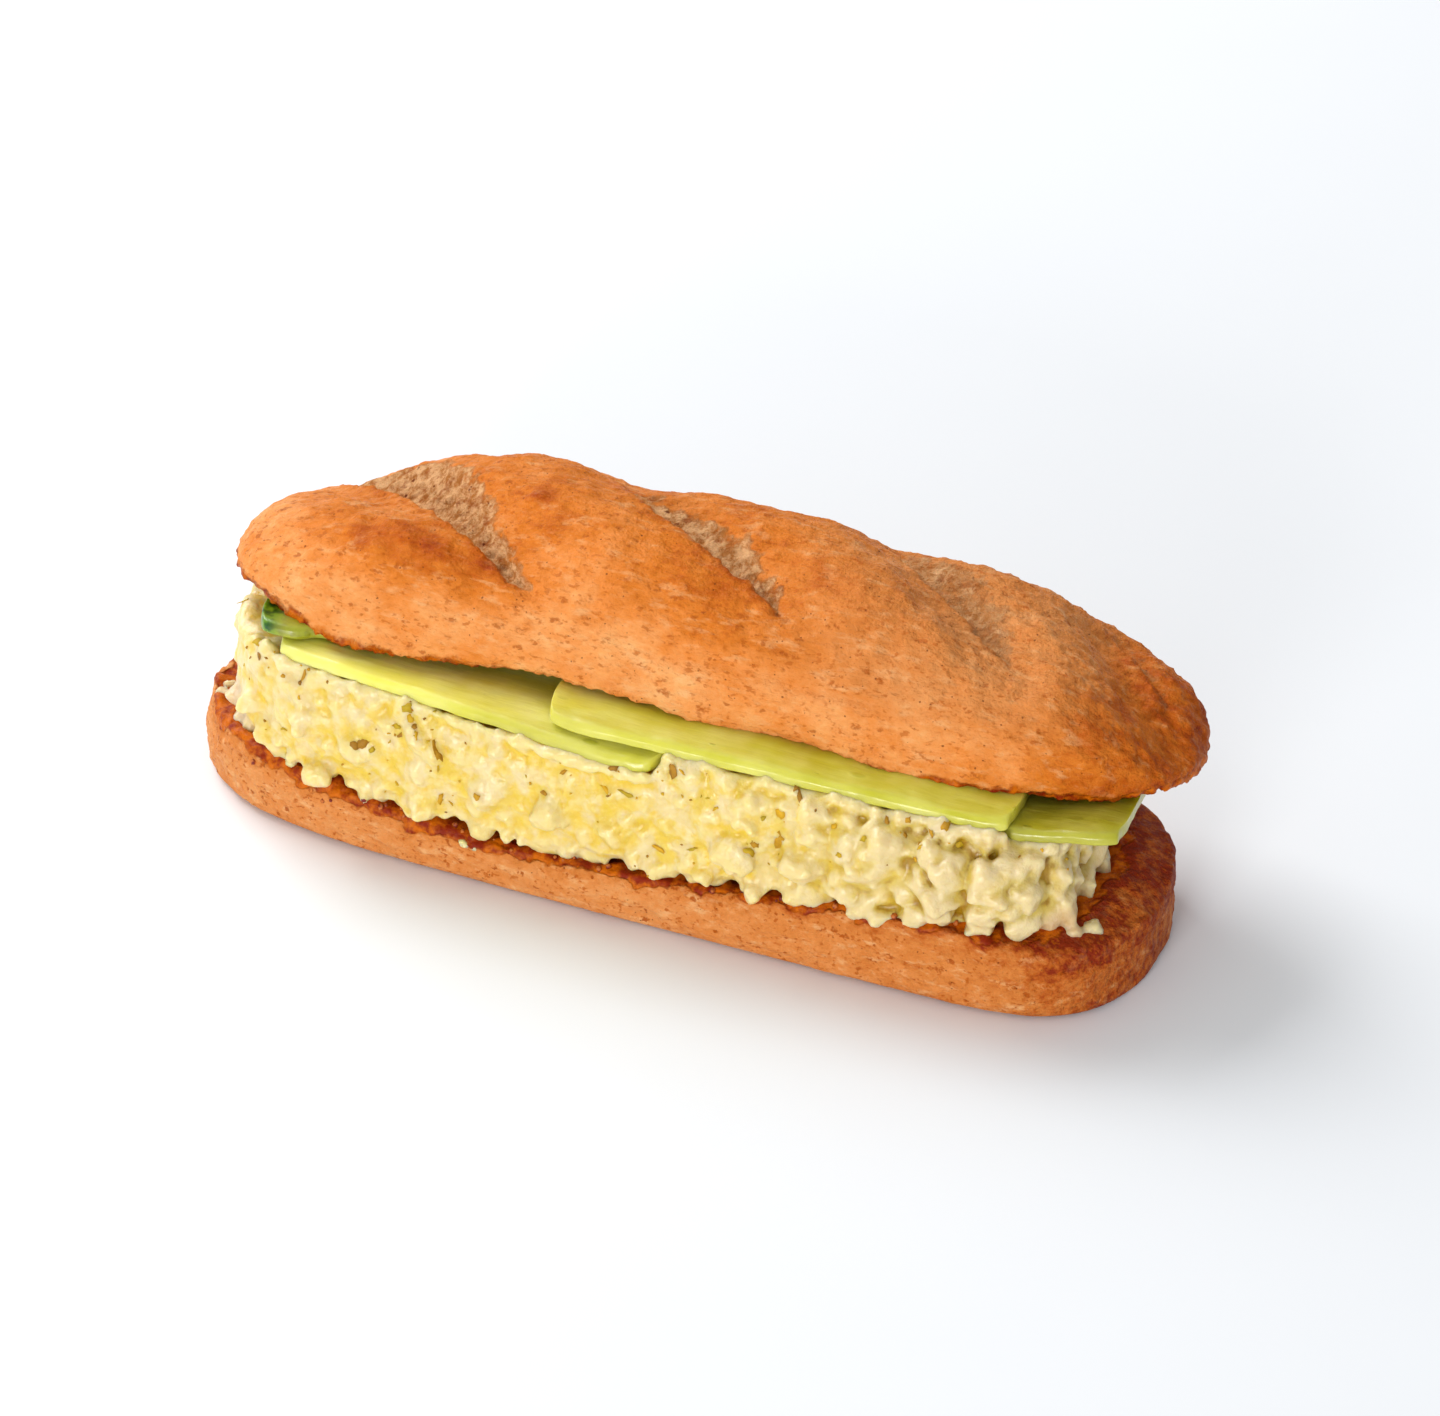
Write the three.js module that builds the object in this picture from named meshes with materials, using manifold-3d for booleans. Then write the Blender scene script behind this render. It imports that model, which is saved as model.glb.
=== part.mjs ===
// A long whole-grain sandwich roll, cut in two and filled with crumbled halloumi and cucumber.
// Lengths are millimetres, +Z is up, X runs along the roll and the filled side that is seen faces -Y.
// The origin lies under the middle of the sandwich, on the surface that it stands on.

import * as THREE from 'three';
import { mergeVertices } from 'three/addons/utils/BufferGeometryUtils.js';
import Module from 'manifold-3d';

const wasm = await Module();
wasm.setup();

// Clearances
const GAP = 0.35; // left between two pieces that lie on each other
const MERGE = 1e-4; // points closer than this are one point

// Lower half of the roll
const BASE = { halfLength: 105, halfWidth: 32, squareLeft: 6.1, squareRight: 10.5 };
const BASE_YAW = -1.1; // degrees
const BASE_AT_X = 0.9;
const BASE_CORNER = 1.7; // how far the flat underside stays inside the side wall
const BASE_END = { round: 9, height: 0.62 }; // half width where the ends begin to round off, and how high
const RIM_LOW = 11.8; // height of the rim at its lowest, just left of the middle
const RIM_LOW_AT = -18;
const RIM_LEFT = { rise: 6.2, reach: 78 }; // climb of the rim towards the left end
const RIM_RIGHT = { rise: 8.8, reach: 108 };
const RIM_EDGE = { width: 1.6, fall: 1.3 }; // rounding of the crust at the rim
const RIM_BAND = 3.5; // width of the toasted band that slopes inwards from the rim
const BAND_FALL = 0.9;
const CUT_FALL = 1.9; // depth of the cut face in the middle, below the rim

// Upper half of the roll, in its own frame, with the cut face at z = 0
const BUN = { halfLength: 103, halfWidth: 28.5, squareLeft: 7.4, squareRight: 7.8 };
const BUN_HEIGHT = 31.5;
const BUN_FALL = { left: 0.14, right: 0.08 }; // share by which the dome is lower at each end
const BUN_ROUND = 2.05; // exponent of the dome's section, 2 is a quarter ellipse
const BUN_LIP = 1.3; // rounding of the crust's lower edge
const BUN_END_ROUND = 7; // half width where that rounding begins to fade into the tip
const BUN_WALL = 9; // below this height the crust is smooth, without slashes
const BUN_AT = [5.0, 9.0, 41.2];
const BUN_TILT = -9.9; // degrees, the front edge is lifted by the filling
const BUN_ROLL = 2.0;
const BUN_YAW = 2.8;

// Slashes across the top, from the back left to the front right, in the bun's frame. The first two
// are shallower at their back ends, by the share given.
const SLASHES = [
  { back: [-94, 17], middle: [-60, -5.5], front: [-22, -29], halfWidth: 6.5, depth: 3.6, share: 0.5 },
  { back: [-32, 18], middle: [-5, -1], front: [30, -24], halfWidth: 4.8, depth: 2.2, share: 0.6 },
  { back: [25, 19], middle: [48, -2], front: [76, -21], halfWidth: 4.6, depth: 2.2, share: 1 },
  { back: [73, 17], middle: [88, -2.5], front: [108, -14], halfWidth: 4.4, depth: 2.2, share: 1 },
];
const VALLEY_HALF_WIDTH = 11;
const VALLEY_DEPTH = 3.5;
const PILLOW_RISE = 1.3;

// Slices of cucumber, in the bun's frame: middle, size, turn in degrees, height of the upper face, and
// how far the right end is pushed up by the filling
const SLICE_THICKNESS = 3;
const CURL_FROM = -24; // in front of this the slices bend down over the filling
const CURL = 0.014; // bend, per millimetre
const RISE_FROM = 75; // right of this a slice may lift to the bun's cut face
const RISE_TO = 90;
const SLICES = [
  { name: 'cucumber_back_left', at: [-59, -11.4], size: [64, 30], turn: 8, top: -0.4, rise: 0 },
  { name: 'cucumber_front_left', at: [-40.5, -20.6], size: [86, 30], turn: -6, top: -4.0, rise: 0 },
  { name: 'cucumber_front_middle', at: [24.5, -22], size: [98, 30], turn: 0, top: -0.4, rise: 0 },
  { name: 'cucumber_right', at: [70.5, -18.5], size: [48, 30], turn: 2, top: -4.0, rise: 3.0 },
];
const SLICE_ROUND = 5; // corner radius of a slice, seen from above
const SLICE_EDGE = 0.8; // bevel along its edges

// Crumbled cheese
const HEAP = { halfLength: 94.5, halfWidth: 31, squareLeft: 8, squareRight: 16 };
const HEAP_AT_X = 0.8;
const WALL_INSET = 1.2; // the plain inside stays this far within that outline, and crumbs fill the rest
const HEAP_CLEAR = 1.3; // between the plain inside of the filling and the uneven cut face below it
const HEAP_SWELL = 1.4; // the wall of the filling bulges out by this at half height
const UNDER_ONE_SLICE = 3.9; // the filling's front edge lies this far below the bun's cut face
const UNDER_TWO_SLICES = 7.4;
const ONE_SLICE = { from: -8, to: 58, ramp: 12 }; // where only one slice lies on the filling's front
const HEAP_END_ROUND = 10; // half width where the ends begin to round off
const LUMP = { height: 0.8, size: 3.1 }; // unevenness of the wall
const CRUMB_ROWS = [
  { height: 0.1, radius: 5.4, pitch: 12.4 },
  { height: 0.43, radius: 6.6, pitch: 14.2 },
  { height: 0.76, radius: 6.0, pitch: 14.2 },
];
const CRUMB_SINK = 0.6; // share of a crumb's radius that lies inside the filling
const COARSE = { least: 0.85, more: 0.25, from: -40, to: 60 }; // the crumbs are coarser to the right
const FLAKE = { length: 4.2, width: 2.4, thickness: 1.2 };
const FLAKE_COUNT = 10;
const FLAKE_PROUD = 1.4; // how far the middle of a flake stands in front of the wall

// A repeatable source of random numbers between 0 and 1
function randomFrom(seed) {
  let state = seed >>> 0;
  return () => {
    state = (state + 0x6d2b79f5) >>> 0;
    let mixed = Math.imul(state ^ (state >>> 15), 1 | state);
    mixed = (mixed + Math.imul(mixed ^ (mixed >>> 7), 61 | mixed)) ^ mixed;
    return ((mixed ^ (mixed >>> 14)) >>> 0) / 2 ** 32;
  };
}

const smooth = (from, to, value) => THREE.MathUtils.smoothstep(value, from, to);
const radians = THREE.MathUtils.degToRad;

// Gentle unevenness between -1 and 1, from three crossing waves
function uneven(x, y, size) {
  const a = Math.sin((x + 0.6 * y) / size + 1.3);
  const b = Math.sin((0.7 * x - 1.1 * y) / size * 1.37 + 0.4);
  const c = Math.sin((1.3 * x + 0.2 * y) / size * 0.61 + 2.1);
  return (a + b + c) / 3;
}

// A closed body whose sections follow one another along X. place(i, j) gives the point of section i
// and side j; the first and the last section are single points.
function loft(sections, sides, place) {
  const geometry = new THREE.SphereGeometry(1, sides, sections);
  const { position, uv } = geometry.attributes;
  for (let n = 0; n < position.count; n += 1) {
    const section = Math.round((1 - uv.getY(n)) * sections);
    const atEnd = section === 0 || section === sections;
    const side = atEnd ? 0 : Math.round(uv.getX(n) * sides) % sides;
    position.setXYZ(n, ...place(section, side));
  }
  geometry.deleteAttribute('normal');
  geometry.deleteAttribute('uv');
  return mergeVertices(geometry, MERGE);
}

// Half the width of a rounded plan at x, with ends that are nearly square
function halfWidthAt(plan, x) {
  const square = x < 0 ? plan.squareLeft : plan.squareRight;
  return plan.halfWidth * Math.sqrt(Math.max(0, 1 - Math.abs(x / plan.halfLength) ** square));
}

// The stations crowd towards the ends, where the outline turns
const stationAt = (plan, section, sections) => plan.halfLength * Math.cos((Math.PI * section) / sections);

// Height of the lower half's rim along the roll: low left of the middle, higher at both ends
function rimHeight(x) {
  const { rise, reach } = x < RIM_LOW_AT ? RIM_LEFT : RIM_RIGHT;
  return RIM_LOW + rise * smooth(0, reach, Math.abs(x - RIM_LOW_AT));
}

// Lower half: flat underside, rounded side, a rim with a toasted band, and a slightly hollow cut face
function baseGeometry() {
  const sections = 46;
  const sides = 20;
  return loft(sections, sides, (section, side) => {
    const x = stationAt(BASE, section, sections);
    const w = halfWidthAt(BASE, x);
    const h = rimHeight(x) + 0.4 * uneven(x, 0, 7);
    const full = Math.min(1, w / BASE_END.round);
    const corner = BASE_CORNER * full;
    const edge = RIM_EDGE.width * full;
    const outline = [
      [0, 0],
      [0.6 * w, 0],
      [w - corner, 0],
      [w - 0.42 * corner, 0.09 * h],
      [w - 0.08 * corner, 0.32 * h],
      [w, 0.66 * h],
      [w - 0.3 * edge, h - RIM_EDGE.fall],
      [w - edge, h],
      [w - edge - RIM_BAND * full, h - BAND_FALL],
      [0.55 * w, h - 0.5 * (BAND_FALL + CUT_FALL)],
      [0, h - CUT_FALL],
    ];
    const onBack = side <= sides / 2;
    const [across, up] = outline[onBack ? side : sides - side];
    const wall = smooth(0, 0.3 * h, up) * smooth(0, 0.5, across / Math.max(w, 1));
    const wobble = 0.5 * wall * uneven(x, up * 2 + (onBack ? 40 : 0), 6);
    const rounding = Math.sqrt(1 - (1 - full) ** 2);
    const middle = BASE_END.height * h;
    const y = (across + wobble) * (onBack ? 1 : -1);
    return [x, w === 0 ? 0 : y, middle + (up - middle) * rounding];
  });
}

// Height of the smooth dome over the point x, y of its cut face
function domeHeight(x, y) {
  const square = x < 0 ? BUN.squareLeft : BUN.squareRight;
  const alongEnd = Math.abs(x / BUN.halfLength);
  const aside = Math.abs(y / BUN.halfWidth);
  let inside = 0;
  let outside = 1;
  for (let step = 0; step < 30; step += 1) {
    const share = (inside + outside) / 2;
    const beyond = (alongEnd / share) ** square + (aside / share) ** 2 > 1;
    if (beyond) inside = share;
    else outside = share;
  }
  const fall = BUN_FALL.right * smooth(20, 95, x) + BUN_FALL.left * smooth(50, 95, -x);
  const height = BUN_HEIGHT * (1 - fall);
  return height * Math.max(0, 1 - outside ** BUN_ROUND) ** (1 / BUN_ROUND);
}

// Distance of the point x, y from a slash and how far along it the nearest point lies, from 0 to 1
function nearSlash({ back, middle, front }, x, y) {
  const point = new THREE.Vector2(x, y);
  const [start, bend, end] = [back, middle, front].map((at) => new THREE.Vector2(...at));
  const firstLength = start.distanceTo(bend);
  const total = firstLength + bend.distanceTo(end);
  const nearest = [[start, bend, 0], [bend, end, firstLength]].map(([from, to, before]) => {
    const way = to.clone().sub(from);
    const length = way.length();
    const share = THREE.MathUtils.clamp(point.clone().sub(from).dot(way) / length ** 2, 0, 1);
    const away = from.clone().addScaledVector(way, share).distanceTo(point);
    return { away, along: (before + share * length) / total };
  });
  return nearest[0].away < nearest[1].away ? nearest[0] : nearest[1];
}

// Rise and fall of the crust: pillows between the slashes, a wide valley and a groove along each slash
function slashRelief(x, y) {
  let relief = PILLOW_RISE * smooth(-85, -60, x);
  for (const slash of SLASHES) {
    const { away, along } = nearSlash(slash, x, y);
    const atBack = slash.share + (1 - slash.share) * smooth(0.1, 0.45, along);
    const taper = atBack * smooth(-0.04, 0.12, along) * (1 - smooth(0.74, 1, along));
    const valley = Math.exp(-((away / VALLEY_HALF_WIDTH) ** 2));
    const groove = Math.exp(-((away / slash.halfWidth) ** 2));
    relief -= taper * (VALLEY_DEPTH * valley + slash.depth * groove);
  }
  return relief;
}

// Upper half: a long dome over a flat cut face, with a small rounded lip all round
function bunGeometry() {
  const sections = 54;
  const sides = 28;
  const underSides = 3; // on each half of the cut face
  const wallSides = sides / 2 - underSides;
  return loft(sections, sides, (section, side) => {
    const x = stationAt(BUN, section, sections);
    const w = halfWidthAt(BUN, x) + (section % sections ? 0.5 * uneven(x, 30, 9) : 0);
    const full = Math.min(1, w / BUN_END_ROUND);
    const onBack = side <= sides / 2;
    const step = onBack ? side : sides - side;
    const facing = onBack ? 1 : -1;
    if (w <= 0) return [x, 0, BUN_LIP];
    if (step < underSides) {
      return [x, (facing * (w - BUN_LIP * full) * step) / (underSides - 1), BUN_LIP * (1 - full)];
    }
    const turn = (Math.PI / 2) * ((step - underSides) / wallSides);
    const y = facing * w * Math.cos(turn);
    const dome = domeHeight(x, Math.sign(y) * Math.min(Math.abs(y), halfWidthAt(BUN, x)));
    const lift = smooth(0, BUN_WALL, dome);
    const relief = lift * (slashRelief(x, y) + 0.5 * uneven(x, y, 5.5));
    return [x, y, BUN_LIP + dome * (1 - BUN_LIP / BUN_HEIGHT) + relief];
  });
}

// How far a slice has bent down at y, in the bun's frame
const curlAt = (y) => CURL * Math.max(0, CURL_FROM - y) ** 2;

// One slice: a flat strip with rounded corners and edges that bends down towards the front.
// With a clearance it is grown all round, to be cut out of the filling.
function sliceGeometry(slice, clearance = 0) {
  const lengthSteps = 6;
  const endSections = 3; // the pole, the flat end and one point of the round corner
  const sections = lengthSteps + 2 * endSections;
  const sides = 14;
  const halfLength = slice.size[0] / 2 + clearance;
  const halfWidth = slice.size[1] / 2 + clearance;
  const half = SLICE_THICKNESS / 2 + clearance;
  const turn = radians(slice.turn);
  const fromTip = [0, 0, 0.3 * SLICE_ROUND]; // along the slice, and
  const fromSide = [halfWidth, SLICE_ROUND, 0.3 * SLICE_ROUND]; // across it
  return loft(sections, sides, (section, side) => {
    const fromEnd = Math.min(section, sections - section);
    const atEnd = fromEnd < endSections;
    const towards = section < sections / 2 ? 1 : -1;
    const straight = 1 - (2 * (section - endSections)) / lengthSteps;
    const x = atEnd ? towards * (halfLength - fromTip[fromEnd]) : (halfLength - SLICE_ROUND) * straight;
    const w = halfWidth - (atEnd ? fromSide[fromEnd] : 0);
    const outline = [
      [0, -half],
      [0.45 * w, -half],
      [w - SLICE_EDGE, -half],
      [w, SLICE_EDGE - half],
      [w, half - SLICE_EDGE],
      [w - SLICE_EDGE, half],
      [0.45 * w, half],
      [0, half],
    ];
    const onBack = side <= sides / 2;
    const [across, up] = w === 0 ? [0, 0] : outline[onBack ? side : sides - side];
    const y = onBack ? across : -across;
    const placedX = slice.at[0] + x * Math.cos(turn) - y * Math.sin(turn);
    const placedY = slice.at[1] + x * Math.sin(turn) + y * Math.cos(turn);
    const lift = slice.rise * smooth(RISE_FROM, RISE_TO, placedX);
    const sway = 0.25 * Math.min(0, uneven(placedX, placedY, 8));
    const level = slice.top - SLICE_THICKNESS / 2 + lift + sway - curlAt(placedY);
    return [placedX, placedY, level + up];
  });
}

// Where the upper half lies
const bunPlace = new THREE.Matrix4().makeRotationFromEuler(
  new THREE.Euler(radians(BUN_TILT), radians(BUN_ROLL), radians(BUN_YAW), 'ZYX'),
);
bunPlace.setPosition(...BUN_AT);
const bunPlaceBack = bunPlace.clone().invert();
const basePlace = new THREE.Matrix4().makeRotationZ(radians(BASE_YAW)).setPosition(BASE_AT_X, 0, 0);

// Height of the bun's cut face over the point x, y
function cutFaceOver(x, y) {
  const up = new THREE.Vector3().setFromMatrixColumn(bunPlace, 2);
  return BUN_AT[2] - (up.x * (x - BUN_AT[0]) + up.y * (y - BUN_AT[1])) / up.z;
}

// Top of the filling over x, y: close under the bun, and under the slices where it shows in front
function heapTop(x, y) {
  const z = cutFaceOver(x, y) - GAP;
  const local = new THREE.Vector3(x, y, z).applyMatrix4(bunPlaceBack);
  const { from, to, ramp } = ONE_SLICE;
  const single = smooth(from, from + ramp, local.x) * (1 - smooth(to - ramp, to, local.x));
  const front = THREE.MathUtils.lerp(UNDER_TWO_SLICES, UNDER_ONE_SLICE, single) + curlAt(local.y);
  const pastEnd = smooth(BUN.halfLength - 14, BUN.halfLength + 2, Math.abs(local.x));
  return z - Math.max(front * smooth(0, 12, -local.y), 5 * pastEnd);
}

// Bottom of the filling over x, y: just clear of the hollow cut face of the lower half
function heapBottom(x, y) {
  const along = THREE.MathUtils.clamp(x - BASE_AT_X, -BASE.halfLength, BASE.halfLength);
  const w = Math.max(1, halfWidthAt(BASE, along));
  const aside = Math.min(1, Math.abs(y) / w);
  const fall = THREE.MathUtils.lerp(CUT_FALL, BAND_FALL * 0.5, smooth(0.3, 0.95, aside));
  return rimHeight(along) - fall + HEAP_CLEAR;
}

// The plain inside of the filling, with a slightly bulging wall
function heapCoreGeometry() {
  const sections = 24;
  const sides = 16;
  const wallSteps = 3;
  return loft(sections, sides, (section, side) => {
    const x = HEAP_AT_X + stationAt(HEAP, section, sections);
    const w = halfWidthAt(HEAP, x - HEAP_AT_X);
    const onBack = side <= sides / 2;
    const step = onBack ? side : sides - side;
    const facing = onBack ? 1 : -1;
    const lowSteps = 2;
    const wallShare = THREE.MathUtils.clamp((step - lowSteps) / wallSteps, 0, 1);
    const lowShare = Math.min(1, step / lowSteps);
    const highShare = Math.max(0, (step - lowSteps - wallSteps) / (sides / 2 - lowSteps - wallSteps));
    const full = Math.min(1, w / HEAP_END_ROUND);
    const lump = LUMP.height * uneven(x, 20 * wallShare + 50 * facing, LUMP.size);
    const swell = (HEAP_SWELL * full + lump) * Math.sin(Math.PI * wallShare);
    const y = w === 0 ? 0 : facing * ((w - WALL_INSET) * lowShare * (1 - highShare) + swell);
    const low = heapBottom(x, y);
    const high = heapTop(x, y);
    if (w === 0) return [x, 0, (low + high) / 2];
    const rounding = Math.sqrt(1 - (1 - full) ** 2);
    const middle = (low + high) / 2;
    const z = low + (high - low) * smooth(0, 1, wallShare);
    return [x, y, middle + (z - middle) * rounding];
  });
}

// A crumb: a rounded lump of twenty faces, knocked out of shape
function crumbGeometry(radius, random) {
  const crumb = new THREE.IcosahedronGeometry(1, 0);
  crumb.deleteAttribute('normal');
  crumb.deleteAttribute('uv');
  const merged = mergeVertices(crumb, MERGE);
  const { position } = merged.attributes;
  const knock = new THREE.Vector3();
  for (let n = 0; n < position.count; n += 1) {
    knock.fromBufferAttribute(position, n).multiplyScalar(radius * (0.82 + 0.36 * random()));
    position.setXYZ(n, knock.x, knock.y, knock.z);
  }
  merged.rotateX(Math.PI * random());
  merged.rotateZ(Math.PI * random());
  merged.scale(0.85 + 0.3 * random(), 0.85 + 0.3 * random(), 0.85 + 0.35 * random());
  return merged;
}

// Where a crumb at share `around` of the way round the filling and share `height` of the wall lies
function wallPoint(around, height) {
  const turn = 2 * Math.PI * around;
  const x = HEAP_AT_X + HEAP.halfLength * Math.cos(turn);
  const w = halfWidthAt(HEAP, x - HEAP_AT_X);
  const y = Math.sign(Math.sin(turn)) * (w - WALL_INSET + HEAP_SWELL * Math.sin(Math.PI * height));
  const low = heapBottom(x, y);
  return new THREE.Vector3(x, y, low + (heapTop(x, y) - low) * height);
}

// Points spaced evenly by length round the wall of the filling
function roundTheWall(height, pitch, visit) {
  const steps = 1440;
  let previous = wallPoint(0, height);
  let travelled = 0;
  for (let step = 1; step <= steps; step += 1) {
    const point = wallPoint(step / steps, height);
    travelled += point.distanceTo(previous);
    previous = point;
    if (travelled >= pitch) {
      travelled -= pitch;
      visit(point);
    }
  }
}

// The crumbs round the wall, in rows, each sunk into the filling by part of its radius
function crumbs() {
  const random = randomFrom(7);
  const made = [];
  for (const { height, radius, pitch } of CRUMB_ROWS) {
    roundTheWall(height, pitch, (point) => {
      const coarse = COARSE.least + COARSE.more * smooth(COARSE.from, COARSE.to, point.x);
      const size = radius * coarse * (0.85 + 0.3 * random());
      const inward = new THREE.Vector3(-0.07 * (point.x - HEAP_AT_X), -0.3 * point.y, 0);
      inward.setLength(CRUMB_SINK * size);
      const crumb = crumbGeometry(size, random);
      crumb.translate(point.x + inward.x, point.y + inward.y, point.z + 1.6 * (random() - 0.5));
      made.push(crumb);
    });
  }
  return made;
}

// Flakes of dried herb, lying on the front of the filling
function flakes() {
  const random = randomFrom(23);
  const made = [];
  for (let n = 0; n < FLAKE_COUNT; n += 1) {
    const around = 0.5 + 0.07 + (0.36 * (n + 0.6 * random())) / FLAKE_COUNT;
    const point = wallPoint(around, 0.35 + 0.5 * random());
    const flake = new THREE.BoxGeometry(FLAKE.length, FLAKE.thickness, FLAKE.width);
    flake.deleteAttribute('normal');
    flake.deleteAttribute('uv');
    flake.rotateY(Math.PI * random());
    flake.translate(point.x, point.y - FLAKE_PROUD, point.z);
    made.push(mergeVertices(flake, MERGE));
  }
  return made;
}

// A closed geometry as a solid that can be joined and cut
function solidOf(geometry) {
  const vertProperties = new Float32Array(geometry.attributes.position.array);
  const triVerts = new Uint32Array(geometry.index.array);
  return new wasm.Manifold(new wasm.Mesh({ numProp: 3, vertProperties, triVerts }));
}

// The largest body of a solid as a geometry: loose scraps are dropped and sealed hollows filled
function largestBody(solid) {
  const mesh = solid.getMesh();
  const geometry = new THREE.BufferGeometry();
  geometry.setAttribute('position', new THREE.BufferAttribute(mesh.vertProperties, 3));
  geometry.setIndex(new THREE.BufferAttribute(mesh.triVerts, 1));
  const merged = mergeVertices(geometry, MERGE);
  const parent = Array.from({ length: merged.attributes.position.count }, (_, n) => n);
  const root = (n) => {
    let at = n;
    while (parent[at] !== at) {
      parent[at] = parent[parent[at]];
      at = parent[at];
    }
    return at;
  };
  const faces = [];
  for (let n = 0; n < merged.index.count; n += 3) {
    const face = [merged.index.getX(n), merged.index.getX(n + 1), merged.index.getX(n + 2)];
    if (face[0] === face[1] || face[1] === face[2] || face[2] === face[0]) continue;
    faces.push(face);
    parent[root(face[1])] = root(face[0]);
    parent[root(face[2])] = root(face[0]);
  }
  const sizes = new Map();
  for (const face of faces) sizes.set(root(face[0]), (sizes.get(root(face[0])) ?? 0) + 1);
  const largest = [...sizes].sort((a, b) => b[1] - a[1])[0][0];
  merged.setIndex(faces.filter((face) => root(face[0]) === largest).flat());
  return merged;
}

// The filling: the plain inside, crumbs and flakes joined, then cut clear of bread and cucumber
function heapGeometry() {
  let heap = solidOf(heapCoreGeometry());
  for (const piece of [...crumbs(), ...flakes()]) heap = heap.add(solidOf(piece));
  const clearBase = baseGeometry();
  clearBase.scale(1 + GAP / BASE.halfLength, 1 + GAP / BASE.halfWidth, 1);
  clearBase.translate(0, 0, GAP).applyMatrix4(basePlace);
  heap = heap.subtract(solidOf(clearBase));
  const clearBun = bunGeometry().translate(0, 0, -GAP).applyMatrix4(bunPlace);
  heap = heap.subtract(solidOf(clearBun));
  for (const slice of SLICES) {
    heap = heap.subtract(solidOf(sliceGeometry(slice, GAP).applyMatrix4(bunPlace)));
  }
  return largestBody(heap);
}

function namedMesh(name, geometry, color, roughness) {
  geometry.computeVertexNormals();
  const mesh = new THREE.Mesh(geometry, new THREE.MeshStandardMaterial({ color, roughness, metalness: 0 }));
  mesh.name = name;
  return mesh;
}

const sandwich = new THREE.Group();

const base = namedMesh('bread_base', baseGeometry(), '#d98d55', 0.75);
base.rotation.z = radians(BASE_YAW);
base.position.x = BASE_AT_X;
sandwich.add(base);

sandwich.add(namedMesh('halloumi_crumble', heapGeometry(), '#eedc9d', 0.45));

const upper = new THREE.Group();
upper.rotation.set(radians(BUN_TILT), radians(BUN_ROLL), radians(BUN_YAW), 'ZYX');
upper.position.set(...BUN_AT);
upper.add(namedMesh('bread_top', bunGeometry(), '#c87433', 0.7));
for (const slice of SLICES) upper.add(namedMesh(slice.name, sliceGeometry(slice), '#d2c860', 0.35));
sandwich.add(upper);

// The middle of the whole sandwich comes over the origin
sandwich.updateMatrixWorld(true);
const box = new THREE.Box3().setFromObject(sandwich, true);
sandwich.position.set(-(box.min.x + box.max.x) / 2, -(box.min.y + box.max.y) / 2, -box.min.z);
sandwich.updateMatrixWorld(true);

export default sandwich;
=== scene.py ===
# %% [markdown]
# # A halloumi sandwich
#
# A long whole-grain roll is cut in two and filled with crumbled halloumi, four slices of cucumber
# that were cut lengthwise, and a little dried herb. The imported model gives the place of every
# piece. Here each piece gets its real surface, in metres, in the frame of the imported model.

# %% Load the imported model
import math
from collections import namedtuple

import bmesh
import bpy
import numpy as np
from mathutils import Matrix, Vector, noise
from mathutils.bvhtree import BVHTree


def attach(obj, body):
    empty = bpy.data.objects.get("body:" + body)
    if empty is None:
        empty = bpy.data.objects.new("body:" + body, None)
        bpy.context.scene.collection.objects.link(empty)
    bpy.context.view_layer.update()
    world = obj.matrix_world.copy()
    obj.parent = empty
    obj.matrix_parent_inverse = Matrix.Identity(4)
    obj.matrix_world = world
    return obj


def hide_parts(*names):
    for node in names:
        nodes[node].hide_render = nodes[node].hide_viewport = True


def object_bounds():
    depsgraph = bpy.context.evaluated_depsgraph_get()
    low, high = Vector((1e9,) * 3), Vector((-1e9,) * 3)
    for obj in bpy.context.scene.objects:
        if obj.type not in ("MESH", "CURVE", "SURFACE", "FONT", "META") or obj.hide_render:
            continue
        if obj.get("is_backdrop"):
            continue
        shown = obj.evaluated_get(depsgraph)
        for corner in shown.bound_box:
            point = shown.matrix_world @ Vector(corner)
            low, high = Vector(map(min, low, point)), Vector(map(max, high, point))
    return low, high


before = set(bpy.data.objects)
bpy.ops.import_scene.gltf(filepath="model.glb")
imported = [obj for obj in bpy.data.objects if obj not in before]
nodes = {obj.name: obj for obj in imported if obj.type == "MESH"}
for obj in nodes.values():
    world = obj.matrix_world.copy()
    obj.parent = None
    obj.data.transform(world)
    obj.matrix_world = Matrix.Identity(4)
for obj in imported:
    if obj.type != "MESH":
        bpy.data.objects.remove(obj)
CAD_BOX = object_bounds()
MM = 0.001
print("nodes:", sorted(nodes))

# %% [markdown]
# ## The camera
#
# The photograph was taken from the front right, 37 degrees above the table, through a long lens.
# The camera looks along that line, and then turns a little, so that the sandwich lies left of the
# middle and below it. The light is judged in plain display values, so the view transform is
# Standard.

# %% Camera
VIEW_AROUND = math.radians(22.275)
VIEW_UP = math.radians(36.91)
VIEW_AWAY = 1.5
VIEW_AIM = Vector((-1.888, -2.696, 0)) * MM
TURN_UP = math.radians(1.0098)
TURN_RIGHT = math.radians(-0.3417)
PHOTO_WIDTH = 1440
PHOTO_HEIGHT = 1416
SENSOR = 36.0
LENS = 182.4

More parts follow.
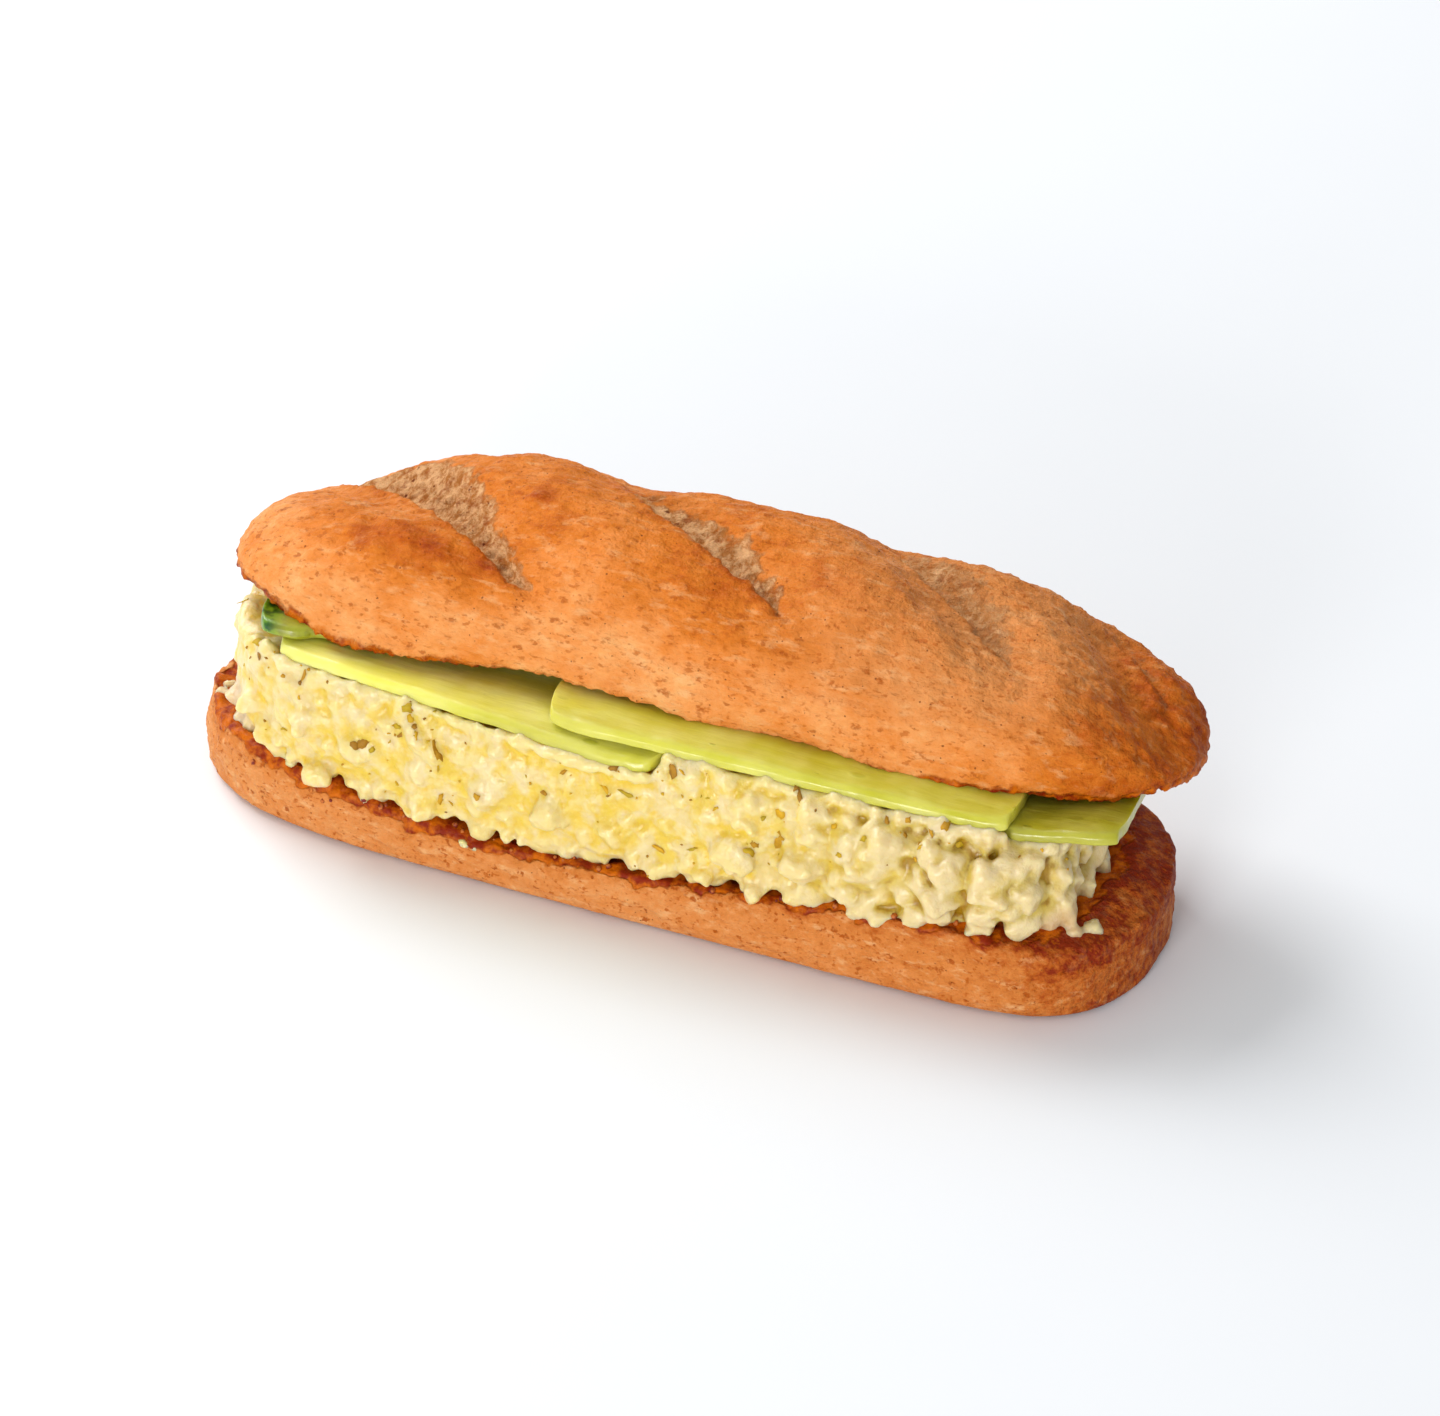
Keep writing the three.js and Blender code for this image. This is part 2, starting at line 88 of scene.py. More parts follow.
side_on = Vector((math.cos(VIEW_AROUND), math.sin(VIEW_AROUND), 0))
backwards = Vector(
    (
        math.sin(VIEW_AROUND) * math.cos(VIEW_UP),
        -math.cos(VIEW_AROUND) * math.cos(VIEW_UP),
        math.sin(VIEW_UP),
    )
)
upright = backwards.cross(side_on)
camera_turn = Matrix((side_on, upright, backwards)).transposed()
camera_turn = camera_turn @ Matrix.Rotation(TURN_UP, 3, "X") @ Matrix.Rotation(TURN_RIGHT, 3, "Y")
camera_data = bpy.data.cameras.new("camera")
camera_data.sensor_width = SENSOR
camera_data.lens = LENS
camera = bpy.data.objects.new("camera", camera_data)
camera.matrix_world = Matrix.Translation(VIEW_AIM + backwards * VIEW_AWAY) @ camera_turn.to_4x4()
bpy.context.scene.collection.objects.link(camera)
bpy.context.scene.camera = camera
bpy.context.scene.view_settings.view_transform = "Standard"
print("camera at", [round(v, 3) for v in camera.matrix_world.translation])

# %% [markdown]
# ## The light and the table
#
# The photograph has a white table, a large soft light and a bright room around it. A wide area
# light stands at the upper left, a little behind the sandwich, and gives the soft shadow to the
# lower right. A second one near the camera lights the side with the filling, and a pale world
# stands for the room.

# %% Light and table
LIGHT_AIM = Vector((0, 0, 30)) * MM


def soft_box(name, right, up, back, away, size, watts):
    """A square soft light, placed by the camera's own directions and aimed at the sandwich."""
    level_back = Vector((-backwards.x, -backwards.y, 0)).normalized()
    towards = side_on * right + Vector((0, 0, 1)) * up + level_back * back
    data = bpy.data.lights.new(name, "AREA")
    data.shape = "SQUARE"
    data.size = size
    data.energy = watts
    light = bpy.data.objects.new(name, data)
    place = LIGHT_AIM + towards.normalized() * away
    facing = towards.to_track_quat("Z", "Y").to_matrix().to_4x4()
    light.matrix_world = Matrix.Translation(place) @ facing
    bpy.context.scene.collection.objects.link(light)
    return light


soft_box("window", right=-0.75, up=0.95, back=0.75, away=1.3, size=0.8, watts=15.0)
soft_box("reflector", right=-0.35, up=0.25, back=-1.0, away=1.5, size=0.5, watts=14.0)
WORLD_STRENGTH = 0.55
world = bpy.data.worlds.new("room")
world.use_nodes = True
world.node_tree.nodes["Background"].inputs["Color"].default_value = (1, 1, 1, 1)
world.node_tree.nodes["Background"].inputs["Strength"].default_value = WORLD_STRENGTH
bpy.context.scene.world = world

# %% [markdown]
# ## A short way to write materials
#
# A finish is a sum of patterns, so its shader maths is written as plain expressions. `Value` wraps
# one output of a node, and each sign on it adds a Math node. `Finish` holds a material, and its
# `add` puts in any other node: first its settings, then its sockets.

# %% Shader helpers
SPOT_SOFT_FROM = 0.55  # where a spot starts to fade, as a part of its radius
LOT_STEP = 0.02
MIX_SHARE, MIX_BELOW, MIX_ABOVE = 0, 6, 7  # the Mix node's sockets for colours
MIX_RESULT = 2


def sign(operation, turned=False):
    """What + - * and / do to a Value: each adds a Math node."""

    def work_out(self, other):
        pair = (other, self) if turned else (self, other)
        return self.maths(operation, *pair)

    return work_out


class Value:
    """One output of a node. Arithmetic on it adds Math nodes."""

    __add__ = __radd__ = sign("ADD")
    __mul__ = __rmul__ = sign("MULTIPLY")
    __sub__ = sign("SUBTRACT")
    __rsub__ = sign("SUBTRACT", turned=True)
    __truediv__ = sign("DIVIDE")

    def __init__(self, finish, socket):
        self.finish = finish
        self.socket = socket

    def maths(self, operation, *numbers):
        inputs = dict(enumerate(numbers))
        return self.finish.add("ShaderNodeMath", {"operation": operation}, inputs)

    def rise(self, start, end):
        """0 below start, 1 above end, and smooth between them."""
        inputs = {"Value": self, "From Min": start, "From Max": end}
        return self.finish.add("ShaderNodeMapRange", {"interpolation_type": "SMOOTHSTEP"}, inputs)


class Finish:
    """A material that is being made."""

    def __init__(self, name):
        self.material = bpy.data.materials.new(name)
        self.material.use_nodes = True
        self.tree = self.material.node_tree
        self.tree.nodes.clear()

    def add(self, kind, settings=None, inputs=None, output=0):
        node = self.tree.nodes.new(kind)
        for name, value in (settings or {}).items():
            if name == "stops":
                self.set_stops(node.color_ramp.elements, value)
            else:
                setattr(node, name, value)
        for name, value in (inputs or {}).items():
            if isinstance(value, Value):
                self.tree.links.new(value.socket, node.inputs[name])
            else:
                node.inputs[name].default_value = value
        return Value(self, node.outputs[output]) if len(node.outputs) else node

    def set_stops(self, elements, stops):
        while len(elements) < len(stops):
            elements.new(0.5)
        for element, (place, colour) in zip(elements, stops):
            element.position = place
            element.color = colour

    def place(self, stretch=(1, 1, 1)):
        """Where a point lies, in millimetres. A stretch above 1 makes patterns longer that way."""
        at = self.add("ShaderNodeTexCoord", output="Object")
        scale = [1 / (MM * s) for s in stretch]
        return self.add("ShaderNodeVectorMath", {"operation": "MULTIPLY"}, {0: at, 1: scale})

    def kept(self, name):
        """A value that was worked out for each point of the mesh."""
        return self.add("ShaderNodeAttribute", {"attribute_name": name}, output="Fac")

    def cloud(self, place, size, detail=2.0, rough=0.5):
        """Soft noise around 0.5, with blotches of that size in millimetres."""
        inputs = {"Vector": place, "Scale": 1 / size, "Detail": detail, "Roughness": rough}
        return self.add("ShaderNodeTexNoise", {}, inputs)

    def warp(self, place, size, reach):
        """The same places, each pushed about by noise, so that round spots get ragged edges."""
        noise_inputs = {"Vector": place, "Scale": 1 / size, "Detail": 2.0}
        push = self.add("ShaderNodeTexNoise", {}, noise_inputs, "Color")
        inputs = {0: push, 1: (reach, reach, reach), 2: place}
        return self.add("ShaderNodeVectorMath", {"operation": "MULTIPLY_ADD"}, inputs)

    def spots(self, place, cell, smallest, largest, share):
        """Round spots, one in some of the cells of a net. Sizes are parts of a cell."""
        inputs = {"Vector": place, "Scale": 1 / cell}
        near = self.add("ShaderNodeTexVoronoi", {}, inputs, "Distance")
        lot = self.add("ShaderNodeTexVoronoi", {}, inputs, "Color")
        lots = self.add("ShaderNodeSeparateColor", {}, {"Color": lot}, "Red")
        sizes = self.add("ShaderNodeSeparateColor", {}, {"Color": lot}, "Green")
        edge = smallest + sizes * (largest - smallest)
        inside = 1 - (near / edge).rise(SPOT_SOFT_FROM, 1.0)
        return inside * lots.rise(1 - share, 1 - share + LOT_STEP)

    def away_from(self, place, point):
        """How far each place lies from one point, in millimetres."""
        settings = {"operation": "DISTANCE"}
        return self.add("ShaderNodeVectorMath", settings, {0: place, 1: point}, "Value")

    def mix(self, share, below, above):
        inputs = {MIX_SHARE: share, MIX_BELOW: below, MIX_ABOVE: above}
        return self.add("ShaderNodeMix", {"data_type": "RGBA"}, inputs, MIX_RESULT)

    def ramp(self, share, stops):
        return self.add("ShaderNodeValToRGB", {"stops": stops}, {"Fac": share})

    def bump(self, height, depth):
        """A bump map. The depth is how far a height of 1 stands out, in millimetres."""
        inputs = {"Height": height, "Distance": depth * MM, "Strength": 1.0}
        return self.add("ShaderNodeBump", {}, inputs)

    def done(self, **sockets):
        shader = self.add("ShaderNodeBsdfPrincipled")
        node = shader.socket.node
        for name, value in sockets.items():
            socket = node.inputs[name.replace("_", " ")]
            if isinstance(value, Value):
                self.tree.links.new(value.socket, socket)
            else:
                socket.default_value = value
        self.add("ShaderNodeOutputMaterial", {}, {"Surface": shader})
        print("finish:", self.material.name, len(self.tree.nodes), "nodes")
        return self.material


FULL_LIGHT = 0.86  # what the surface itself reflects, over what the photograph shows
GLOSS_VEIL = 0.02  # the white that gloss lays over every colour
DARKEST = 0.002


def seen(red, green, blue):
    """The colour of a surface that shows as this red, green and blue, from 0 to 255."""
    shares = [c / 255 for c in (red, green, blue)]
    # the usual curve from display values to linear light
    linear = [s / 12.92 if s <= 0.04045 else ((s + 0.055) / 1.055) ** 2.4 for s in shares]
    return (*[max(DARKEST, FULL_LIGHT * v - GLOSS_VEIL) for v in linear], 1)


# %% [markdown]
# The table is plain and white. Its tone drifts a little over some centimetres, as painted board
# does.

# %% Table top
TABLE_SIZE = 6.0
TABLE_CLOUD = 40.0
TABLE_DULL = (0.81, 0.835, 0.865, 1)
TABLE_CLEAN = (0.82, 0.845, 0.875, 1)
table_finish = Finish("table_white")
table_cloud = table_finish.cloud(table_finish.place(), TABLE_CLOUD)
table_white = table_finish.mix(table_cloud, TABLE_DULL, TABLE_CLEAN)
table_material = table_finish.done(Base_Color=table_white, Roughness=0.8)

# %% [markdown]
# ## Tools for meshes
#
# A finished piece is an object at the origin with its place in its mesh, so every helper works on
# the points themselves. Noise from `mathutils` shapes them, always with a fixed seed, so that each
# run gives the same sandwich.

# %% Mesh helpers
SEED_STEPS = (3.7, 5.1, 2.3)  # how far one seed's noise lies from the next one's
MERGE_WITHIN = 0.01 * MM
QUAD_BEND = math.radians(50)


def smooth(start, end, value):
    """0 below start, 1 above end, and smooth between them."""
    share = np.clip((value - start) / (end - start), 0, 1)
    return share * share * (3 - 2 * share)


def mottle(places, size, seed=0, layers=2):
    """Noise from about -1 to 1 for each place. Size is how wide a blotch is, in their unit."""
    shift = Vector([seed * step for step in SEED_STEPS])
    return np.array([noise.fractal(Vector(p) / size + shift, 1.0, 2.0, layers) for p in places])


def points_of(mesh):
    places = np.empty(len(mesh.vertices) * 3)
    mesh.vertices.foreach_get("co", places)
    return places.reshape(-1, 3)


def normals_of(mesh):
    normals = np.empty(len(mesh.vertices) * 3, np.float32)
    mesh.vertex_normals.foreach_get("vector", normals)
    return normals.reshape(-1, 3).astype(float)


def move_points(mesh, places):
    mesh.vertices.foreach_set("co", places.ravel())
    mesh.update()


def push_out(mesh, places, normals, distance):
    """Moves each point along its normal, by its own distance in millimetres."""
    pushed = places + normals * (distance * MM)[:, None]
    move_points(mesh, pushed)
    return pushed


def keep(mesh, **kept):
    """Stores one value of each name for each point, for the materials to read."""
    for name, values in kept.items():
        attribute = mesh.attributes.new(name, "FLOAT", "POINT")
        attribute.data.foreach_set("value", values.astype(np.float32))


def triangles_in(mesh):
    return sum(len(p.vertices) - 2 for p in mesh.polygons)


def object_from(name, bm):
    """A new object with this bmesh, in the scene."""
    mesh = bpy.data.meshes.new(name)
    bm.to_mesh(mesh)
    bm.free()
    piece = bpy.data.objects.new(name, mesh)
    bpy.context.scene.collection.objects.link(piece)
    return piece


def shade_smoothly(mesh):
    mesh.polygons.foreach_set("use_smooth", [True] * len(mesh.polygons))
    mesh.update()


def apply_modifiers(piece):
    """Turns the mesh with its modifiers into the piece's own mesh."""
    shown = piece.evaluated_get(bpy.context.evaluated_depsgraph_get())
    finished = bpy.data.meshes.new_from_object(shown)
    rough = piece.data
    piece.modifiers.clear()
    piece.data = finished
    bpy.data.meshes.remove(rough)
    finished.name = piece.name
    shade_smoothly(finished)


def merged_copy(node):
    """The CAD node's mesh with its loose triangles joined to a net of quads."""
    bm = bmesh.new()
    bm.from_mesh(nodes[node].data)
    bmesh.ops.remove_doubles(bm, verts=bm.verts, dist=MERGE_WITHIN)
    limits = {"angle_face_threshold": QUAD_BEND, "angle_shape_threshold": QUAD_BEND}
    bmesh.ops.join_triangles(bm, faces=bm.faces, **limits)
    return bm


def round_off(piece, levels):
    soften = piece.modifiers.new("rounding", "SUBSURF")
    soften.levels = levels
    soften.render_levels = levels


def even_net(piece, rounding, grid, calm):
    """Rounds the piece off, lays an even net of that grid over it and calms the net's steps."""
    if rounding:
        round_off(piece, rounding)
    net = piece.modifiers.new("even_net", "REMESH")
    net.mode = "VOXEL"
    net.voxel_size = grid * MM
    ease = piece.modifiers.new("calm", "SMOOTH")
    ease.factor = 0.5
    ease.iterations = calm
    apply_modifiers(piece)


def finish_piece(piece, material, slot, *replaced):
    """Gives the piece its material and its body, and hides the nodes that it stands for. The slot is not
    used.
    """
    piece.data.materials.clear()
    piece.data.materials.append(material)
    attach(piece, "root")
    if replaced:
        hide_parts(*replaced)
    points = points_of(piece.data) / MM
    box = [round(float(v), 1) for v in (*points.min(0), *points.max(0))]
    print(piece.name, triangles_in(piece.data), "triangles, box in mm", box)


table_bm = bmesh.new()
bmesh.ops.create_grid(table_bm, x_segments=2, y_segments=2, size=TABLE_SIZE / 2)
table = object_from("table", table_bm)
table.data.materials.append(table_material)
table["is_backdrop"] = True

# %% [markdown]
# ## The upper half of the roll
#
# The CAD solid has the dome, the pillows and the wide valleys. A real crust is finer: along the
# lower left side of each slash the crust opened in the oven as a ragged lip, and the paler,
# fibrous crumb shows beside it. An even net of small faces can carry that as relief. It is worked
# out in the roll's own frame, with the cut face at height zero.

# %% Frame of the upper half
BUN_AT = Vector((3.112, 6.304, 41.2))
BUN_TILT = math.radians(-9.9)
BUN_ROLL = math.radians(2.0)
BUN_YAW = math.radians(2.8)
bun_turn = Matrix.Rotation(BUN_YAW, 3, "Z") @ Matrix.Rotation(BUN_ROLL, 3, "Y")
bun_turn = bun_turn @ Matrix.Rotation(BUN_TILT, 3, "X")


def in_bun(places):
    """Points in metres as millimetres in the frame of the upper half."""
    return (places / MM - np.array(BUN_AT)) @ np.array(bun_turn)


def out_of_bun(local):
    """The way back: millimetres in the frame of the upper half as points in metres."""
    return (local @ np.array(bun_turn).T + np.array(BUN_AT)) * MM


# %% Slashes of the crust
# Each slash is a line of its lip from the back to the front, in the bun's frame, with the width of
# the crumb beside each point. Step is how far the lip stands over the crumb, and bare how clearly
# the crumb shows.
LipPoint = namedtuple("LipPoint", "x y width")
Slash = namedtuple("Slash", "lip step bare ragged")
SLASHES = [
    Slash(
        [
            LipPoint(-96, 21, 5.0), LipPoint(-86, 12.6, 9.5), LipPoint(-78.6, 8.3, 13.0),
            LipPoint(-71.1, 2.7, 13.5), LipPoint(-60.9, -7.6, 12.5),
            LipPoint(-51.5, -15.6, 10.0), LipPoint(-44.5, -18.6, 6.5),
            LipPoint(-37.1, -22.6, 3.5), LipPoint(-29.5, -25.6, 1.5),
        ],
        step=2.1,
        bare=1.0,
        ragged=0.8,
    ),
    Slash(
        [
            LipPoint(-30, 14.5, 5.0), LipPoint(-20.7, 1.3, 8.8), LipPoint(-14.5, -4.5, 11.0),
            LipPoint(-5.8, -7.9, 11.0), LipPoint(-2.3, -9.6, 10.5), LipPoint(3.0, -12.3, 9.5),
            LipPoint(9.5, -14.6, 7.5), LipPoint(15.3, -18.2, 4.0), LipPoint(21.0, -21.6, 1.5),
        ],
        step=1.6,
        bare=0.8,
        ragged=1.3,
    ),
    Slash(
        [
            LipPoint(25.0, 16.5, 7.0), LipPoint(34.6, 9.0, 11.0), LipPoint(42.8, 1.0, 13.0),
            LipPoint(50.8, -4.2, 12.0), LipPoint(58.5, -10.0, 8.0), LipPoint(67.0, -16.0, 3.0),
        ],
        step=1.0,
        bare=0.52,
        ragged=1.6,
    ),
    Slash(
        [
            LipPoint(73.0, 20.0, 3.0), LipPoint(79.5, 15.0, 4.5), LipPoint(85.9, 8.2, 5.5),
            LipPoint(90.5, 3.2, 4.5), LipPoint(95.5, -3.0, 2.0),
        ],
        step=0.9,
        bare=0.42,
        ragged=1.4,
    ),
]


def beside_lip(lip, x, y):
    """For each point: how far it lies behind the lip, how far along it, and the crumb's width."""
    best = np.full(len(x), np.inf)
    across = np.zeros(len(x))
    along = np.zeros(len(x))
    width = np.ones(len(x))
    for count, (start, end) in enumerate(zip(lip, lip[1:])):
        way_x = end.x - start.x
        way_y = end.y - start.y
        length = math.hypot(way_x, way_y)
        share = np.clip(((x - start.x) * way_x + (y - start.y) * way_y) / length**2, 0, 1)
        off_x = x - start.x - share * way_x
        off_y = y - start.y - share * way_y
        away = np.hypot(off_x, off_y)
        side = np.sign(-off_x * way_y + off_y * way_x)
        nearer = away < best
        best = np.where(nearer, away, best)
        across = np.where(nearer, away * side, across)
        along = np.where(nearer, (count + share) / (len(lip) - 1), along)
        width = np.where(nearer, start.width + share * (end.width - start.width), width)
    return across, along, width


# %% [markdown]
# The net is made from a rounded copy of the CAD solid. Its front edge then sags over the filling
# in three places, as the photograph shows, and each slash gets its step, its swollen lip and its
# crumb.

# %% Relief of the slashes
CRUST_NET = {"rounding": 2, "grid": 0.62, "calm": 4}
SAG_FORWARD = 0.25  # how far the edge comes forward, over how far it sags
LIP_SWELL = 0.5  # how far the lip swells, over its step
LIP_SWELL_WIDE = 3.0
FRINGE_COARSE = 2.4  # how far the crumb's far side wanders
LipSag = namedtuple("LipSag", "start whole_from whole_to end depth")
LIP_SAGS = [
    LipSag(-92, -76, -48, -22, 3.1),
    LipSag(-12, 14, 48, 74, 2.7),
    LipSag(48, 72, 88, 99, 1.6),
]

bun = object_from("bun_crust", merged_copy("bread_top"))
even_net(bun, **CRUST_NET)
local_mm = in_bun(points_of(bun.data))
x, y, z = local_mm.T
at_lip = smooth(13, 22, -y) * (1 - smooth(1.0, 12.0, z))
sagged = local_mm.copy()
for sag in LIP_SAGS:
    along = smooth(sag.start, sag.whole_from, x) * (1 - smooth(sag.whole_to, sag.end, x))
    sagged[:, 2] -= sag.depth * along * at_lip
    sagged[:, 1] -= SAG_FORWARD * sag.depth * along * at_lip
move_points(bun.data, out_of_bun(sagged))
bun_points = points_of(bun.data)
bun_normals = normals_of(bun.data)
open_air = smooth(1.5, 5.0, z)
on_front = smooth(8.0, 20.0, -y)
coarse = mottle(local_mm, 3.0, seed=1)
fine = mottle(local_mm, 1.3, seed=2)
relief = np.zeros(len(x))
crumb = np.zeros(len(x))
lip_brown = np.zeros(len(x))
for slash in SLASHES:
    across, along, width = beside_lip(slash.lip, x, y)
    ragged = across + slash.ragged * coarse + 0.25 * fine
    ends = smooth(0.0, 0.14, along) * (1 - smooth(0.86, 1.0, along)) * open_air
    fringe = across + FRINGE_COARSE * coarse + fine
    inside = smooth(-0.3, 0.5, ragged) * (1 - smooth(width - 5.0, width + 2.0, fringe))
    fading = 1 - smooth(0, np.maximum(width, 1.0) * 1.1, across)
    over_lip = smooth(-0.7, 1.3, ragged)
    relief -= slash.step * ends * over_lip * fading
    swollen = np.exp(-((ragged / LIP_SWELL_WIDE) ** 2))
    relief += LIP_SWELL * slash.step * ends * swollen * (1 - over_lip)
    crumb = np.maximum(crumb, slash.bare * inside * ends)
    lip_brown = np.maximum(lip_brown, slash.bare * ends * np.exp(-(((ragged + 1.0) / 1.5) ** 2)))
print("crumb shows on", round(float(np.mean(crumb > 0.4)) * 100, 1), "% of the net")

# %% [markdown]
# The crust is never even. Long shallow wrinkles run along the roll, the crumb is rough and pitted,
# and the lower edge, where the knife went through, is ragged. How dark the crust is baked is kept
# as one value, and painted shade and light are laid into it too: pale low on the sides, partly as
# painted light, brown on the flanks beside the slashes, and darker on the crown and towards the
# right end, partly as painted shade.

# %% Crust of the upper half
FLAT_ALONG = [0.35, 1, 1]  # drawn out along the roll
BLISTER = (-38.5, -5.9)  # a small dark blister behind the first slash
Patch = namedtuple("Patch", "x y long wide much")
BROWN_PATCHES = [
    Patch(-70, -19, 10, 6, 0.12), Patch(-51, -22, 14, 6, 0.34), Patch(-2, -17, 13, 5, 0.06),
    Patch(-39, -5, 4, 3, 0.16), Patch(-18, -28, 14, 6, 0.05), Patch(-21, -19, 13, 6, -0.18),
    Patch(17, -27, 14, 6, 0.07), Patch(-80, -14, 12, 9, 0.06), Patch(24, -14, 14, 5, 0.04),
    Patch(-80, 6, 20, 12, 0.06), Patch(30, 4, 14, 10, -0.14), Patch(62, 2, 18, 12, -0.26),
    Patch(64, -16, 16, 8, -0.20),
]
stretched = local_mm * FLAT_ALONG
wrinkles = mottle(stretched, 2.6, seed=3)
swell = mottle(local_mm, 9.0, seed=4)
dimples = mottle(local_mm, 3.6, seed=10)
rough_flank = np.exp(-(((x + 68) / 26) ** 2) - (((y + 12) / 9) ** 2))
uneven = 0.45 * swell + 0.34 * wrinkles + 0.28 * dimples + 0.18 * fine
rougher = 1 + 0.7 * rough_flank + 0.5 * smooth(15, 60, x)
relief += open_air * uneven * rougher * (1 - crumb)
relief += crumb * (0.62 * mottle(local_mm, 2.6, seed=5, layers=3) + 0.3 * fine - 0.2)
off_blister = (x - BLISTER[0], y - BLISTER[1])
relief += 1.5 * np.exp(-((off_blister[0] / 2.6) ** 2) - ((off_blister[1] / 1.7) ** 2)) * open_air

# a shallow ledge runs along the front, where the crust folded over in the oven
ledge_height = 11.5 + 0.9 * mottle(local_mm * [1, 0, 0], 8.0, seed=6)
ledge = smooth(0, 12, x + 14) * (1 - smooth(38, 50, x)) * on_front
relief -= 0.7 * ledge * np.exp(-(((z - ledge_height) / 1.3) ** 2))

# the edge that the knife left, more torn towards both ends
ragged_edge = (1 - smooth(1.0, 4.5, z)) * smooth(-0.5, 0.4, z)
torn_ends = 1 + 0.8 * smooth(30, 60, -x) + 0.5 * smooth(20, 60, x)
relief += ragged_edge * torn_ends * (0.55 * coarse + 0.35 * fine)
under = 1 - smooth(-0.4, 0.5, z)
relief += under * 0.3 * coarse
push_out(bun.data, bun_points, bun_normals, relief)

# %% Browning and painted shade of the upper half
# painted shade on the right end and the crown, painted light on the low sides, mixed with baking
right_end = smooth(50, 102, x)
left_end = smooth(60, 100, -x)
crown = smooth(17, 28, z)
bake = 0.48 + 0.38 * right_end + 0.14 * crown + 0.05 * left_end
low_side = (1 - smooth(9, 19, z)) * (1 - smooth(45, 95, x))
bake -= (0.24 - 0.08 * smooth(0, 30, x)) * low_side
for patch in BROWN_PATCHES:
    reach = ((x - patch.x) / patch.long) ** 2 + ((y - patch.y) / patch.wide) ** 2
    bake += patch.much * np.exp(-reach)
bake += 0.13 * mottle(local_mm, 14.0, seed=7) + 0.08 * mottle(stretched, 4.0, seed=8)
bake += 0.12 * lip_brown
edge_amount = 0.35 + 0.4 * smooth(20, 55, -x) + 0.55 * smooth(15, 75, x)
edge_reach = 1.8 + 0.6 * smooth(30, 60, np.abs(x))
edge_reach = edge_reach + 1.6 * mottle(local_mm, 6.0, seed=9) + 1.2 * coarse
toast = np.clip(edge_amount, 0, 1) * (1 - smooth(edge_reach - 1.2, edge_reach + 1.4, z))
toast = np.maximum(toast, under)
floury = 0.42 * smooth(5, 45, x) * (1 - smooth(70, 94, x)) * smooth(5, 16, z)
keep(bun.data, bake=bake, crumb=crumb, toast=toast, floury=floury)
print("the upper half is baked from", round(bake.min(), 2), "to", round(bake.max(), 2))

# %% [markdown]
# ## Finish of the bread
#
# Whole-grain crust is peach to brown, with ragged bran specks about a millimetre long, many tiny
# dark dots, and paler streaks where the skin stretched or was rubbed, which also stand for a painted
# sheen on the wrinkles. One finish serves both halves. It reads how dark each point is baked and
# painted shaded, where flour lies, where crumb shows and where the cut was toasted.

# %% Bread finish
CRUST_TONES = [
    (0.00, seen(255, 198, 134)),
    (0.24, seen(252, 170, 102)),
    (0.44, seen(242, 148, 76)),
    (0.62, seen(228, 131, 56)),
    (0.82, seen(200, 102, 20)),
    (1.00, seen(150, 62, 4)),
]
CRUST_FLOUR = seen(214, 146, 92)
CRUST_WORN_AND_SHEEN = seen(255, 204, 146)
BRAN = seen(182, 92, 30)
FLECK = seen(190, 98, 32)
GRIT = seen(124, 62, 20)
CRUMB_PALE = seen(248, 192, 138)
CRUMB_DEEP = seen(190, 122, 68)
CRUMB_PIT = seen(118, 60, 20)
CRUMB_BAKED = seen(164, 84, 34)
TOAST_DARK = seen(146, 58, 6)
TOAST_WARM = seen(216, 116, 32)


